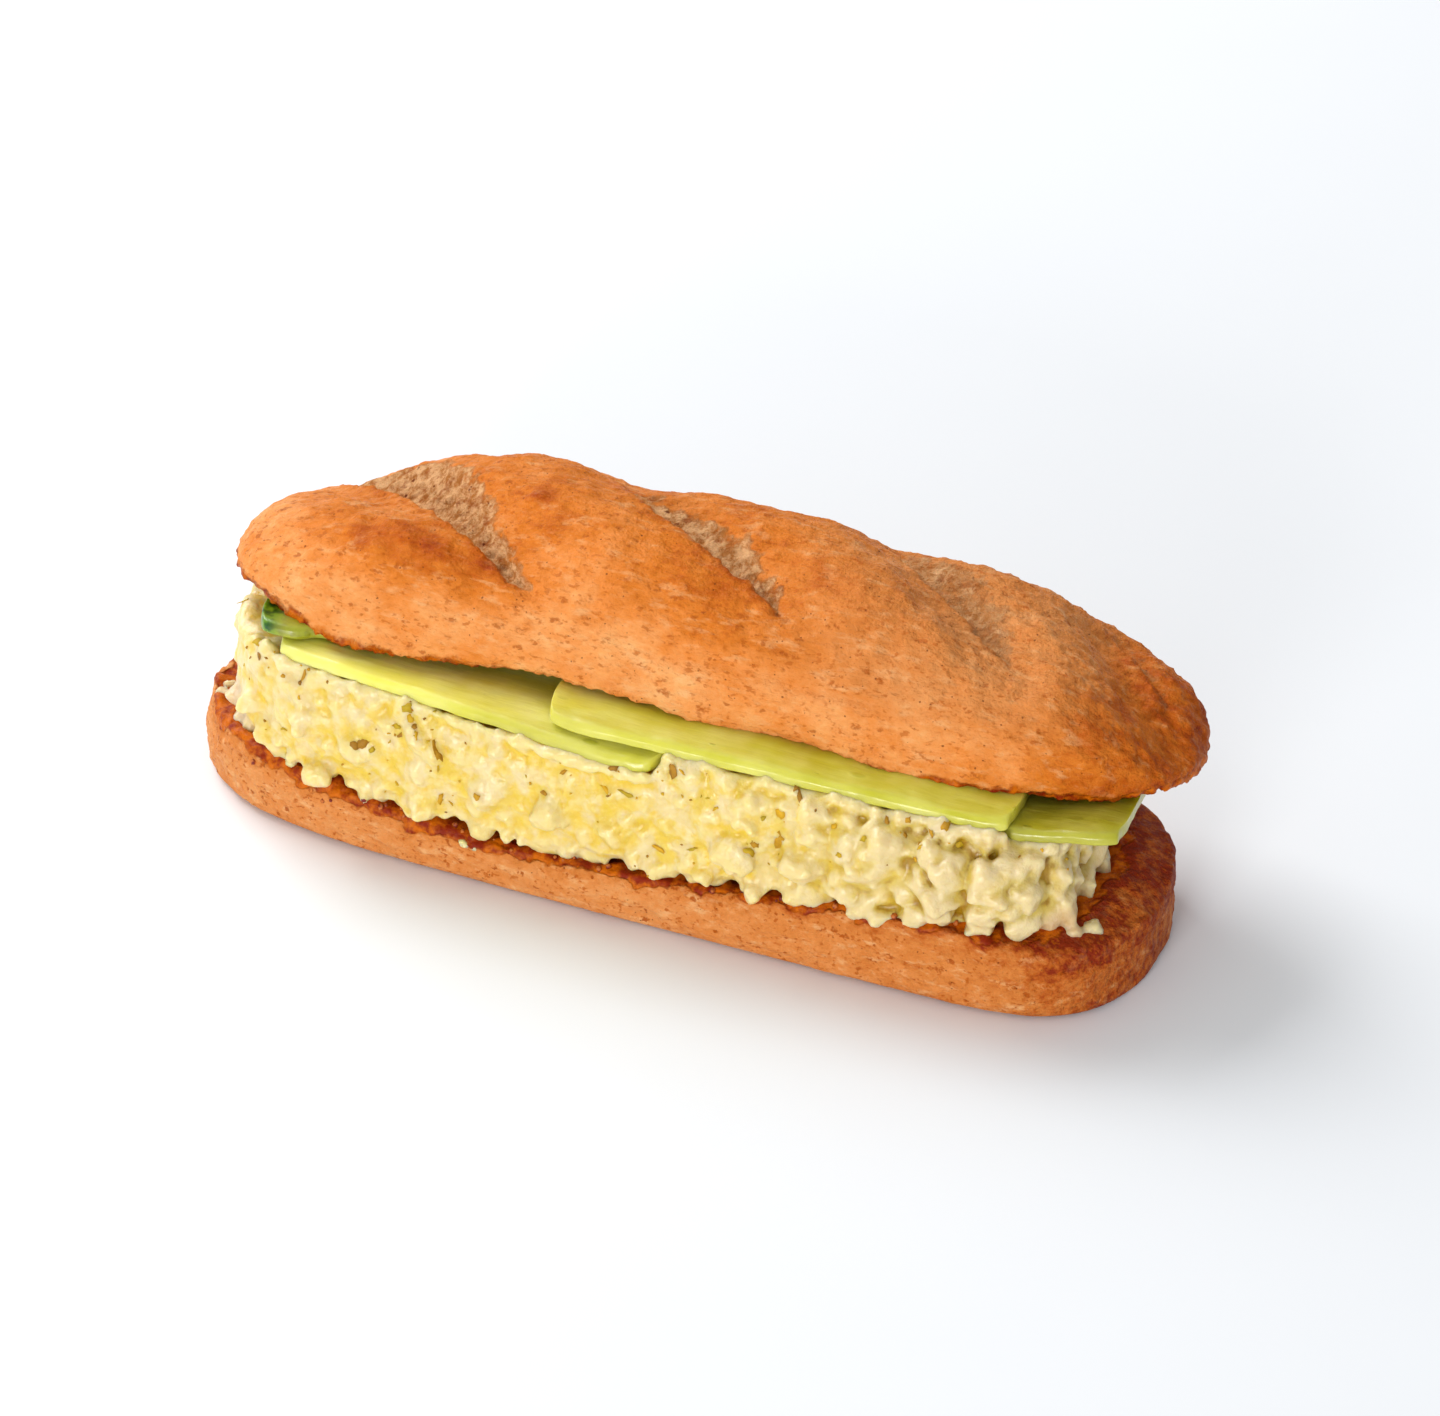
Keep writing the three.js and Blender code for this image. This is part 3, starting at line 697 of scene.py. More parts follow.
def bread_finish(name, grain, uneven):
    """A half's finish. Grain is how long its specks are, and uneven how strong."""
    f = Finish(name)
    place = f.place()
    drawn_out = f.place((grain, 1, 1))
    long_ways = f.place((grain * 1.6, 1, 1))
    ragged = f.warp(drawn_out, 0.9, 1.3)
    patches = f.cloud(place, 7.0, 3.0) - 0.5
    mottles = f.cloud(drawn_out, 2.0, 5.0, 0.68) - 0.5
    # how dark each point is baked, with the painted shade and light of the bake value
    baked_and_shaded = f.kept("bake") + patches * 0.35 + mottles * 0.52 * uneven
    crust = f.ramp(baked_and_shaded, CRUST_TONES)
    crust = f.mix((1 - baked_and_shaded.rise(0.6, 1.0)) * f.kept("floury"), crust, CRUST_FLOUR)
    # paler streaks: rubbed, stretched skin, and a painted sheen on the wrinkles
    worn_and_sheen = f.cloud(long_ways, 2.2, 4.0, 0.6).rise(0.52, 0.72)
    worn_and_sheen = worn_and_sheen * (0.32 - baked_and_shaded.rise(0.6, 0.95) * 0.26) * uneven
    crust = f.mix(worn_and_sheen, crust, CRUST_WORN_AND_SHEEN)
    bran = f.spots(ragged, 2.5, 0.14, 0.42, 0.55) * f.cloud(place, 1.0, 3.0).rise(0.4, 0.56)
    flecks = f.cloud(drawn_out, 0.9, 2.0).rise(0.55, 0.68) * f.cloud(place, 3.5).rise(0.38, 0.56)
    grit = f.spots(f.warp(place, 0.5, 0.4), 1.2, 0.06, 0.22, 0.25)
    crust = f.mix(bran * 0.56 * uneven, crust, BRAN)
    crust = f.mix(flecks * 0.5 * uneven, crust, FLECK)
    crust = f.mix(grit * 0.7, crust, GRIT)
    fibre = f.cloud(f.place((1, 1.7, 1)), 2.2, 7.0, 0.78)
    pits = f.spots(f.warp(place, 1.0, 1.4), 3.2, 0.08, 0.28, 0.3)
    inside = f.mix(fibre.rise(0.38, 0.6), CRUMB_DEEP, CRUMB_PALE)
    browned = f.cloud(place, 3.4, 5.0, 0.65).rise(0.5, 0.66)
    inside = f.mix(browned * 0.7, inside, CRUMB_BAKED)
    inside = f.mix(pits * 0.9, inside, CRUMB_PIT)
    inside = f.mix(flecks * 0.35, inside, CRUMB_DEEP)
    scorch = f.mix(f.cloud(place, 3.2, 4.0, 0.6).rise(0.36, 0.64), TOAST_DARK, TOAST_WARM)
    torn = f.kept("crumb") + (fibre - 0.5) * 0.5
    torn = torn + (f.cloud(place, 4.6, 4.0, 0.6) - 0.5) * 0.9
    burnt = f.kept("toast") + (f.cloud(place, 1.3, 3.0) - 0.5) * 0.7
    colour = f.mix(torn.rise(0.22, 0.74), crust, inside)
    colour = f.mix(burnt.rise(0.22, 0.75), colour, scorch)
    bare = torn.rise(0.3, 0.6)
    crisp = burnt.rise(0.3, 0.8)
    rough = 0.52 + (f.cloud(place, 2.5) - 0.5) * 0.3 + bare * 0.3 - crisp * 0.16
    height = f.cloud(drawn_out, 1.8, 5.0, 0.62) + f.cloud(place, 0.7, 3.0) * 0.35
    height = height - bran * 0.12 - grit * 0.12 + fibre * bare * 0.7
    height = height * (1 - crisp * 0.6)
    return f.done(
        Base_Color=colour,
        Roughness=rough,
        Normal=f.bump(height, 1.1),
        Subsurface_Weight=0.08,
        Subsurface_Radius=(1.0, 0.45, 0.2),
        Subsurface_Scale=1.5 * MM,
        Specular_IOR_Level=0.11,
    )


bun_material = bread_finish("bun_crust", grain=1.8, uneven=1.1)
finish_piece(bun, bun_material, "bread_top", "bread_top")

# %% [markdown]
# ## The lower half of the roll
#
# Its crust is a paler peach at the front and browner at the right end, partly baked and partly
# painted shade. The cut face was toasted: a dark red-brown band with a crumbly edge shows all
# round, between the crust and the cheese.

# %% Lower half
BASE_AT = (-0.988, -2.696)
BASE_YAW = math.radians(-1.1)
BASE_HALF_LENGTH = 105
BASE_HALF_WIDTH = 32
SQUARE_LEFT = 6.1  # how square the left end is in plan, as a power of a superellipse
SQUARE_RIGHT = 10.5
RIM_LOW = 11.8
RIM_LOW_AT = -18
RIM_LEFT_RISE = 6.2
RIM_RIGHT_RISE = 8.8
END_TUCK = 2.0  # how far the rim at the left end lies inside the widest part of the crust
END_DROP = 4.5  # how far the rim at the right end rounds down towards its outside
HEAP_LEFT_OUT = 0.8
HEAP_RIGHT_IN = 4.6


def in_base(places):
    """Points in metres as millimetres in the frame of the lower half."""
    moved = places / MM - np.array([*BASE_AT, 0])
    turn = np.array(Matrix.Rotation(BASE_YAW, 3, "Z"))
    return moved @ turn


def rim_height(x):
    """How high the toasted rim stands over the table. It is lowest left of the middle."""
    left = RIM_LEFT_RISE * smooth(0, 78, RIM_LOW_AT - x)
    right = RIM_RIGHT_RISE * smooth(0, 108, x - RIM_LOW_AT)
    return RIM_LOW + left + right


def tree_of(*meshes):
    """One search tree over several meshes, for rays."""
    bm = bmesh.new()
    for mesh in meshes:
        bm.from_mesh(mesh)
    bmesh.ops.triangulate(bm, faces=bm.faces)
    tree = BVHTree.FromBMesh(bm)
    bm.free()
    return tree


def draw_ends_in(places):
    """Draws the heap's right end in, so that the rim shows there, and lets its left end out."""
    x = places[:, 0] / MM
    places[:, 0] += (-HEAP_LEFT_OUT * smooth(82, 98, -x) - HEAP_RIGHT_IN * smooth(80, 97, x)) * MM
    return places


heap_shape = object_from("heap_shape", merged_copy("halloumi_crumble"))
move_points(heap_shape.data, draw_ends_in(points_of(heap_shape.data)))
heap_tree = tree_of(heap_shape.data)

base = object_from("base_crust", merged_copy("bread_base"))
even_net(base, **CRUST_NET)
base_points = points_of(base.data)
base_mm = in_base(base_points)
x, y, z = base_mm.T
rim = rim_height(x)
square = np.where(x < 0, SQUARE_LEFT, SQUARE_RIGHT)
plan = np.abs(x / BASE_HALF_LENGTH) ** square + (y / BASE_HALF_WIDTH) ** 2
base_points[:, 0] += END_TUCK * smooth(84, 104, -x) * smooth(0.3, 1.0, z / rim) * MM
round_end = smooth(68, 98, x) * smooth(0.35, 1.05, plan) * smooth(0.4, 1.0, z / rim)
base_points[:, 2] -= END_DROP * round_end * MM
move_points(base.data, base_points)
base_normals = normals_of(base.data)
coarse = mottle(base_mm, 2.4, seed=21)
fine = mottle(base_mm, 1.2, seed=22)
drawn = base_mm * [0.3, 1, 1]
print("the rim stands from", round(rim.min(), 1), "to", round(rim.max(), 1), "mm high")

# %% [markdown]
# How far the toast reaches is measured from the cheese: it shows as a band of two to four
# millimetres all round it, and a wider one at both ends. Shallow creases run along the crust below
# it.

# %% Toast, relief and browning of the lower half
BASE_FLOUR = 0.4
at_rim = z > 0.45 * rim
near_cheese = np.full(len(x), 50.0)
near_cheese[at_rim] = [
    heap_tree.find_nearest(Vector(place))[3] / MM for place in base_points[at_rim]
]
at_left = smooth(-20, 60, -x) + 1.8 * smooth(86, 97, -x)
at_right = smooth(84, 98, x)
band = 2.1 + 1.5 * at_left + 2.2 * at_right + 0.9 * coarse + 0.9 * mottle(base_mm, 6.0, seed=23)
toast = 1 - smooth(band - 0.9, band + 0.9, near_cheese)
lift = smooth(0.4, 2.5, z)
creases = mottle(drawn, 2.2, seed=25) * (1 - smooth(66, 90, x))
swells = mottle(base_mm, 8.0, seed=24)
relief = lift * (0.4 * swells + 0.48 * creases + 0.24 * coarse + 0.16 * fine)
relief += toast * smooth(0.3, 0.8, z / rim) * (0.25 * coarse + 0.1 * fine)
push_out(base.data, base_points, base_normals, relief)

# painted shade on the right end and the right side, mixed with their baking
right_end = smooth(74, 106, x)
right_side = smooth(10, 80, x)
left_end = smooth(50, 100, -x)
bake = 0.35 + 0.30 * right_end + 0.22 * right_side + 0.02 * left_end
upper_side = smooth(0.35, 0.9, z / rim)
on_table = 1 - smooth(0, 2.0, z)
bake += 0.10 * upper_side * smooth(-20, 60, x) + 0.15 * on_table
bake += 0.10 * mottle(base_mm, 12.0, seed=26) + 0.08 * mottle(drawn, 3.0, seed=27)
bake += 0.24 * (1 - smooth(band, band + 3.0, near_cheese))
no_crumb = np.zeros(len(x))
keep(base.data, bake=bake, crumb=no_crumb, toast=toast, floury=np.full(len(x), BASE_FLOUR))
base_material = bread_finish("base_crust", grain=1.25, uneven=1.6)
finish_piece(base, base_material, "bread_base", "bread_base")

# %% [markdown]
# ## Cucumber
#
# The slices were cut lengthwise, three millimetres thick, and bend down over the filling. The
# flesh is wet and slightly clear, yellow-green, with a row of clear seed marks, and only one tip
# still has its dark green skin. The CAD slices have the right shape, so a subdivided copy keeps it
# and rounds it.

# %% Cucumber slices
CUCUMBERS = ["cucumber_back_left", "cucumber_front_left", "cucumber_front_middle", "cucumber_right"]
BACK_LEFT = CUCUMBERS[0]
RIGHT = CUCUMBERS[3]
SQUARED = CUCUMBERS[2:]
SKIN_ENDS_AT = -82.0
SLICE_ROUNDING = 3
CUT_EDGE_BEND = math.radians(35)
CUT_CREASE = 0.4  # keeps the knife's edges crisper than the rest of a slice
END_SHEAR = 3.0
# painted shade where the slices go under the bread, and painted light near the lip on the left
FLESH = (seen(192, 184, 58), seen(210, 202, 88))
FLESH_PALE_AND_PAINTED_LIGHT = (seen(244, 240, 96), seen(255, 252, 148))
FLESH_AT_RIGHT = (seen(198, 194, 50), seen(224, 220, 104))
SEED_MARK = seen(174, 176, 34)
FLESH_SHADED = seen(150, 148, 24)
RIND = (seen(44, 92, 16), seen(112, 150, 30))


def cucumber_finish(name):
    f = Finish(name)
    place = f.place()
    fibres = f.place((7, 1, 1))
    shade = f.cloud(fibres, 2.6, 3.0) * 0.4 + f.cloud(place, 9.0) * 0.6
    streaks = shade.rise(0.3, 0.7)
    flesh = f.mix(streaks, *FLESH)
    flesh = f.mix(f.kept("pale"), flesh, f.mix(streaks, *FLESH_PALE_AND_PAINTED_LIGHT))
    flesh = f.mix(f.kept("along"), flesh, f.mix(streaks, *FLESH_AT_RIGHT))
    seeds = f.spots(f.place((2.4, 1, 1)), 3.4, 0.10, 0.34, 0.42) * f.kept("seeds")
    flesh = f.mix(seeds * 0.5, flesh, SEED_MARK)
    flesh = f.mix(f.kept("shaded") * 0.45, flesh, FLESH_SHADED)
    rind = f.mix(f.cloud(place, 2.4).rise(0.4, 0.6), *RIND)
    colour = f.mix(f.kept("skin"), flesh, rind)
    height = f.cloud(fibres, 1.2, 3.0) * 0.5 + f.cloud(place, 3.0) * 0.5 + seeds * 0.35
    return f.done(
        Base_Color=colour,
        Roughness=0.24 + f.cloud(place, 2.0) * 0.16,
        Normal=f.bump(height, 0.3),
        Subsurface_Weight=0.6,
        Subsurface_Radius=(1.0, 1.0, 0.3),
        Subsurface_Scale=4.5 * MM,
        Coat_Weight=0.25,
        Coat_Roughness=0.15,
    )


def square_off(places):
    """Brings a slice's right end forward at its front edge, so that it is cut nearly square."""
    x, y, _ = places.T
    near_end = smooth(16 * MM, 2 * MM, x.max() - x)
    places[:, 0] += END_SHEAR * MM * near_end * smooth(9 * MM, 0.5 * MM, y - y.min())
    return places


def under_the_lip(places):
    """Draws the back left slice's front edge back, behind the lip of the bread that hides it."""
    local = in_bun(places)
    x, y, _ = local.T
    back = 2.6 * smooth(-81, -76, x) + 4.5 * smooth(-66, -44, x)
    local[:, 1] += back * smooth(2, 20, -y)
    return out_of_bun(local)


cucumber_material = cucumber_finish("cucumber_flesh")
cucumber_pieces = []
for name in CUCUMBERS:
    slice_bm = merged_copy(name)
    crease = slice_bm.edges.layers.float.new("crease_edge")
    for edge in slice_bm.edges:
        cut_edge = len(edge.link_faces) == 2 and edge.calc_face_angle() > CUT_EDGE_BEND
        edge[crease] = CUT_CREASE if cut_edge else 0.0
    piece = object_from(name.replace("cucumber", "slice"), slice_bm)
    round_off(piece, SLICE_ROUNDING)
    apply_modifiers(piece)
    if name == BACK_LEFT:
        move_points(piece.data, under_the_lip(points_of(piece.data)))
    if name in SQUARED:
        move_points(piece.data, square_off(points_of(piece.data)))
    places = points_of(piece.data)
    normals = normals_of(piece.data)
    sway = 0.34 * mottle(places / MM, 9.0, seed=31) + 0.10 * mottle(places / MM, 3.0, seed=32)
    push_out(piece.data, places, normals, sway - 0.05)
    x, y, _ = in_bun(places).T
    from_front = y - y.min()
    seeds = smooth(0.5, 2.0, from_front) * (1 - smooth(5.0, 8.0, from_front))
    # painted light: on the left the flesh is paler towards the lip of the bread, against its shade
    at_left = 1 - smooth(-40, 10, x)
    pale = 0.75 + at_left * (smooth(1.0, 6.0, from_front) - 0.75)
    bright_left = 5.0 * (1 - smooth(-40, 0, x))
    shaded = smooth(6.0, 12.0, from_front - bright_left)
    shaded = np.maximum(shaded, 1.0 if name == RIGHT else 0.0)
    skin = 1 - 0.6 * smooth(SKIN_ENDS_AT, SKIN_ENDS_AT + 5.0, places[:, 0] / MM)
    skin = skin * (name == BACK_LEFT)
    along = smooth(-50, 62, x)
    keep(piece.data, seeds=seeds, pale=pale, shaded=shaded, along=along, skin=skin)
    finish_piece(piece, cucumber_material, "cucumber", name)
    cucumber_pieces.append(piece)

# %% [markdown]
# ## Crumbled halloumi
#
# The filling is a heap of moist curds. On the left they have run together, and towards the right
# they are separate lumps of five to nine millimetres with deep gaps. Hundreds of irregular curds
# are set on the wall of the CAD heap, then one voxel net is laid over all of them with the heap's
# own inside. That gives a single closed skin in which neighbours merge, as moist crumbs do.

# %% Surroundings of the heap
INSIDE_HEAP = 20 * MM
ABOVE_ALL = 60 * MM
NO_LID = 1.0
UP = Vector((0, 0, 1))
DOWN = Vector((0, 0, -1))
lid_tree = tree_of(nodes["bread_top"].data, *[piece.data for piece in cucumber_pieces])
floor_tree = tree_of(base.data)


def ceiling_over(place):
    hit = lid_tree.ray_cast(Vector((place.x, place.y, INSIDE_HEAP)), UP)[0]
    return hit.z if hit else NO_LID


def floor_under(place):
    hit = floor_tree.ray_cast(Vector((place.x, place.y, ABOVE_ALL)), DOWN)[0]
    return hit.z if hit else 0.0


# %% Shapes of curds
CORNER = {"offset": 0.4, "segments": 3, "profile": 0.5, "affect": "EDGES", "material": -1}


def dented(bm, name, closeness, shift, depth):
    """Pushes a shape of radius 1 in and out by noise, and keeps it as a mesh."""
    for vert in bm.verts:
        push = noise.fractal(vert.co * closeness + Vector(shift), 1.0, 2.0, 2)
        vert.co *= 1 + depth * push
    mesh = bpy.data.meshes.new(name)
    bm.to_mesh(mesh)
    bm.free()
    return mesh


def curd_shape(count):
    """One irregular curd of radius 1, from a ball."""
    bm = bmesh.new()
    bmesh.ops.create_icosphere(bm, subdivisions=2, radius=1.0)
    return dented(bm, f"curd_{count}", closeness=1.1, shift=(count * 9.1, 0, 0), depth=0.3)


def chunk_shape(count):
    """One broken chunk, from a block with soft corners."""
    bm = bmesh.new()
    bmesh.ops.create_cube(bm, size=1.6)
    bmesh.ops.bevel(bm, geom=bm.edges, **CORNER)
    return dented(bm, f"chunk_{count}", closeness=0.9, shift=(0, count * 7.3, 0), depth=0.24)


SOFT_CURDS = [curd_shape(count) for count in range(10)]
CHUNKS = [chunk_shape(count) for count in range(8)]
print("curd shapes:", len(SOFT_CURDS), "soft,", len(CHUNKS), "broken")


# %% [markdown]
# The curds stand at random places on the wall of the heap, but never closer than a set gap, as
# grains pack. Each place that is drawn is kept only if no kept one lies too near. Each curd is
# then sunk into the wall by a share of its radius, and moved up or down to lie between the bread
# and what covers it.

# %% Places for curds on the wall of the heap
WALL_LOWEST = -0.8  # what faces further down or up than this is no wall
WALL_HIGHEST = 0.93
CELL = 6 * MM  # kept places are looked up in cells, which must be wider than any gap


def wall_places(spacing_at, tries, seed):
    """Places spread over the wall of the CAD heap, no two closer than the spacing at that x."""
    mesh = heap_shape.data
    mesh.calc_loop_triangles()
    corners = np.array([[mesh.vertices[i].co for i in t.vertices] for t in mesh.loop_triangles])
    sides = np.cross(corners[:, 1] - corners[:, 0], corners[:, 2] - corners[:, 0])
    areas = np.linalg.norm(sides, axis=1)
    facing = sides / areas[:, None]
    wall = areas * (facing[:, 2] > WALL_LOWEST) * (facing[:, 2] < WALL_HIGHEST)
    dice = np.random.default_rng(seed)
    picks = dice.choice(len(corners), tries, p=wall / wall.sum())
    a = np.sqrt(dice.random(tries))
    b = dice.random(tries)
    spread = np.stack([1 - a, a * (1 - b), a * b], axis=1)
    places = np.einsum("nk,nkc->nc", spread, corners[picks])
    taken = {}
    kept = []
    for place, normal in zip(places, facing[picks]):
        gap = spacing_at(place[0] / MM) * MM
        cell = tuple(int(v) for v in place // CELL)
        around = [
            other
            for i in (-1, 0, 1)
            for j in (-1, 0, 1)
            for k in (-1, 0, 1)
            for other in taken.get((cell[0] + i, cell[1] + j, cell[2] + k), [])
        ]
        if all(np.sum((place - other) ** 2) > gap * gap for other in around):
            taken.setdefault(cell, []).append(place)
            kept.append((Vector(place), Vector(normal)))
    return kept


# %% Size and depth of the curds
MELTED_TO = 18  # up to this x the curds have run together
LUMPS_FROM = 70  # from this x on they are separate lumps
CHUNKS_FROM = 20
ROOM_FOR_LUMPS = 0.12  # how much deeper the curds lie where lumps of the photograph stand on them
LID_GAP = 0.25 * MM
FLOOR_GAP = 0.1 * MM
ON_BREAD = 6 * MM  # a floor that is higher than this is bread


def coarseness(x):
    """0 where the curds have run together, 1 where they are separate lumps."""
    return float(smooth(MELTED_TO, LUMPS_FROM, x))


def turn_at_random(dice):
    axis = Vector(dice.normal(size=3)).normalized()
    return Matrix.Rotation(dice.random() * math.tau, 4, axis)


Curd = namedtuple("Curd", "shape place radius turn stretch")
CURD_STRETCH = [(0.75, 1.15), (0.75, 1.15), (0.85, 1.35)]


def settle(place, radius):
    """Moves a curd up or down until it lies between the bread and what covers it."""
    top = ceiling_over(place) - LID_GAP
    bottom = floor_under(place) + FLOOR_GAP
    radius = min(radius, max(0.6 * MM, (top - bottom) / 2))
    place.z = min(place.z, top - radius)
    if bottom > ON_BREAD:
        place.z = max(place.z, bottom + 0.5 * radius)
    return place, radius


def sow(spacing_at, radius_at, sink_at, tries, seed):
    """Curds over the wall, sunk into it by a share of their radius."""
    dice = np.random.default_rng(seed)
    curds = []
    for place, normal in wall_places(spacing_at, tries, seed):
        x = place.x / MM
        radius = radius_at(x) * MM * dice.uniform(0.75, 1.3)
        in_front = normal.y < -0.2
        deeper = ROOM_FOR_LUMPS * coarseness(x) * in_front
        centre, radius = settle(place - normal * radius * (sink_at(x) + deeper), radius)
        shapes = CHUNKS if x > CHUNKS_FROM else SOFT_CURDS
        stretch = Vector([dice.uniform(*limits) for limits in CURD_STRETCH])
        shape = shapes[dice.integers(len(shapes))]
        curds.append(Curd(shape, centre, radius, turn_at_random(dice), stretch))
    return curds


big = sow(
    spacing_at=lambda x: 4.4 + 1.0 * coarseness(x),
    radius_at=lambda x: 2.8 + 0.5 * coarseness(x),
    sink_at=lambda x: 0.84 - 0.04 * coarseness(x),
    tries=9000,
    seed=11,
)
small = sow(
    spacing_at=lambda x: 3.4 + 0.6 * coarseness(x),
    radius_at=lambda x: 1.3 + 0.4 * coarseness(x),
    sink_at=lambda x: 0.55 + 0.15 * coarseness(x),
    tries=12000,
    seed=12,
)
print("curds:", len(big), "large,", len(small), "small")

# %% [markdown]
# Along the lower edge, small pointed nubs hang over the toasted rim. They are set by rays: from
# outside towards the heap, just above the rim, all the way round.

# %% Nubs over the rim
NUB_SPACING = 1.5
ROUND_CORNERS = 0.62  # the rim's length over that of a full ellipse's box
RAY_FROM = 1.25  # a ray starts this far out, over the heap's half size, and aims at RAY_TO
RAY_TO = 0.8
END_DEEP = 10 * MM


def nubs_round_the_rim(seed):
    dice = np.random.default_rng(seed)
    heap_points = points_of(heap_shape.data)
    middle = (heap_points.min(0) + heap_points.max(0)) / 2
    curds = []
    reach_x, reach_y = (heap_points.max(0) - heap_points.min(0))[:2] / 2
    count = int(2 * math.pi * (reach_x + reach_y) * ROUND_CORNERS / (NUB_SPACING * MM))
    for number in range(count):
        angle = math.tau * (number + dice.uniform(-0.6, 0.6)) / count
        corner = max(abs(math.cos(angle)), abs(math.sin(angle)))
        around = Vector((math.cos(angle), math.sin(angle), 0)) / corner**0.9
        outside = Vector((around.x * reach_x * RAY_FROM, around.y * reach_y * RAY_FROM, 0))
        start = Vector(middle) + outside
        aim = Vector((middle[0] + around.x * reach_x * RAY_TO, middle[1], 0))
        if abs(around.y) * reach_y < END_DEEP:
            aim.y = middle[1] + around.y * reach_y
        level = rim_height(start.x / MM) + dice.uniform(0.1, 4.0)
        start.z = level * MM
        way = (Vector((aim.x, aim.y, start.z)) - start).normalized()
        hit = heap_tree.ray_cast(start, way)[0]
        skipped = dice.random() < 0.35 + 0.45 * coarseness(start.x / MM)
        if hit is None or skipped:
            continue
        radius = dice.uniform(0.5, 1.8) * MM
        place = hit - way * dice.uniform(-1.0, 0.5) * MM
        bottom = floor_under(place)
        if bottom > ON_BREAD:
            place.z = max(place.z, bottom + 0.5 * radius)
        stretch = Vector((0.9, dice.uniform(0.7, 1.1), dice.uniform(0.9, 1.3)))
        shape = CHUNKS[dice.integers(len(CHUNKS))]
        curds.append(Curd(shape, place, radius, turn_at_random(dice), stretch))
    return curds


nubs = nubs_round_the_rim(13)
print("nubs:", len(nubs))

# %% [markdown]
# In the right third the photograph shows single lumps, and a creamy strand and a few small bits
# lie on the rim at the left end and below the middle. Each has a place in the photograph, in its
# pixels. A ray from the camera through that place meets the heap or the bread, and the lump lies
# there, a little proud. So it sits on what carries it, seen from any side.

# %% Lumps and creamy bits that the photograph shows
Lump = namedtuple("Lump", "across down wide tall")
LUMPS_SEEN = [
    Lump(724, 853, 5.5, 5.5), Lump(760, 842, 5.0, 4.5), Lump(790, 868, 5.5, 5.0),
    Lump(813, 815, 5.8, 6.0), Lump(848, 848, 5.0, 7.5), Lump(887, 850, 7.6, 11.0),
    Lump(927, 821, 3.6, 3.0), Lump(947, 874, 6.2, 8.5), Lump(988, 882, 7.6, 8.0),
    Lump(976, 853, 5.0, 5.5), Lump(1010, 847, 6.5, 5.5), Lump(1031, 866, 5.0, 5.5),
    Lump(1062, 876, 4.6, 4.4), Lump(1058, 845, 5.5, 4.0), Lump(1080, 850, 5.0, 4.5),
    Lump(1100, 862, 4.6, 5.5), Lump(1084, 888, 4.4, 6.0), Lump(1030, 892, 4.6, 4.6),
    Lump(1052, 893, 4.4, 3.8), Lump(1022, 926, 7.0, 5.0), Lump(1050, 914, 5.6, 6.0),
    Lump(920, 884, 4.6, 4.4), Lump(907, 897, 5.0, 5.0), Lump(937, 911, 5.5, 5.4),
    Lump(914, 914, 5.5, 6.0), Lump(955, 920, 4.4, 6.0), Lump(978, 916, 5.6, 4.0),
    Lump(974, 933, 4.6, 3.0), Lump(880, 897, 3.2, 3.0), Lump(805, 890, 5.0, 4.5),
    Lump(827, 899, 5.0, 4.5), Lump(848, 895, 4.6, 4.4), Lump(842, 877, 6.0, 4.6),
    Lump(858, 914, 6.0, 3.4), Lump(884, 917, 6.4, 3.6), Lump(1092, 930, 4.6, 4.2),
    Lump(1074, 934, 3.8, 3.2), Lump(921, 837, 5.0, 4.4), Lump(866, 908, 4.6, 4.0),
]
CREAM_SEEN = [
    Lump(221, 692, 2.6, 3.0), Lump(229, 686, 3.0, 3.0), Lump(231, 698, 3.4, 3.2),
    Lump(239, 690, 3.4, 3.0), Lump(243, 704, 3.8, 3.6), Lump(240, 718, 3.0, 3.4),
    Lump(251, 728, 3.4, 3.4), Lump(256, 716, 4.0, 3.6), Lump(262, 736, 3.4, 3.0),
    Lump(272, 744, 3.2, 3.0), Lump(280, 754, 3.0, 2.8), Lump(292, 764, 2.4, 2.4),
    Lump(254, 703, 3.6, 4.0), Lump(266, 724, 3.6, 3.6), Lump(463, 843, 2.6, 2.2),
    Lump(474, 848, 2.2, 1.8),
]
LUMP_PROUD = 0.42  # how much of a lump's depth stands out of the heap
LUMP_SWELL = 1.15  # makes up for what the smoothing takes off
LUMP_DEEP = 0.4  # how deep a lump is, over its width and height
LUMP_LEAN = 0.7


def through_photo(across, down):
    """The ray from the camera through that point of the photograph."""
    step = SENSOR / PHOTO_WIDTH / LENS
    way = Vector(((across - PHOTO_WIDTH / 2) * step, (PHOTO_HEIGHT / 2 - down) * step, -1))
    return camera.matrix_world.translation, (camera_turn @ way).normalized()


def lumps_in_view(seen_lumps, shapes, seed):
    dice = np.random.default_rng(seed)
    curds = []
    for lump in seen_lumps:
        eye, way = through_photo(lump.across, lump.down)
        hit = heap_tree.ray_cast(eye, way)[0] or floor_tree.ray_cast(eye, way)[0]
        deep = LUMP_DEEP * (lump.wide + lump.tall) / 2 * MM
        place = hit + way * deep * (1 - LUMP_PROUD)
        size = Vector((lump.wide / 2 * MM, deep, lump.tall / 2 * MM))
        lean = Matrix.Rotation(dice.uniform(-LUMP_LEAN, LUMP_LEAN), 4, "Y")
        turn = Matrix.Rotation(VIEW_AROUND, 4, "Z") @ lean
        shape = shapes[dice.integers(len(shapes))]
        curds.append(Curd(shape, place, 1.0, turn, size * LUMP_SWELL))
    return curds


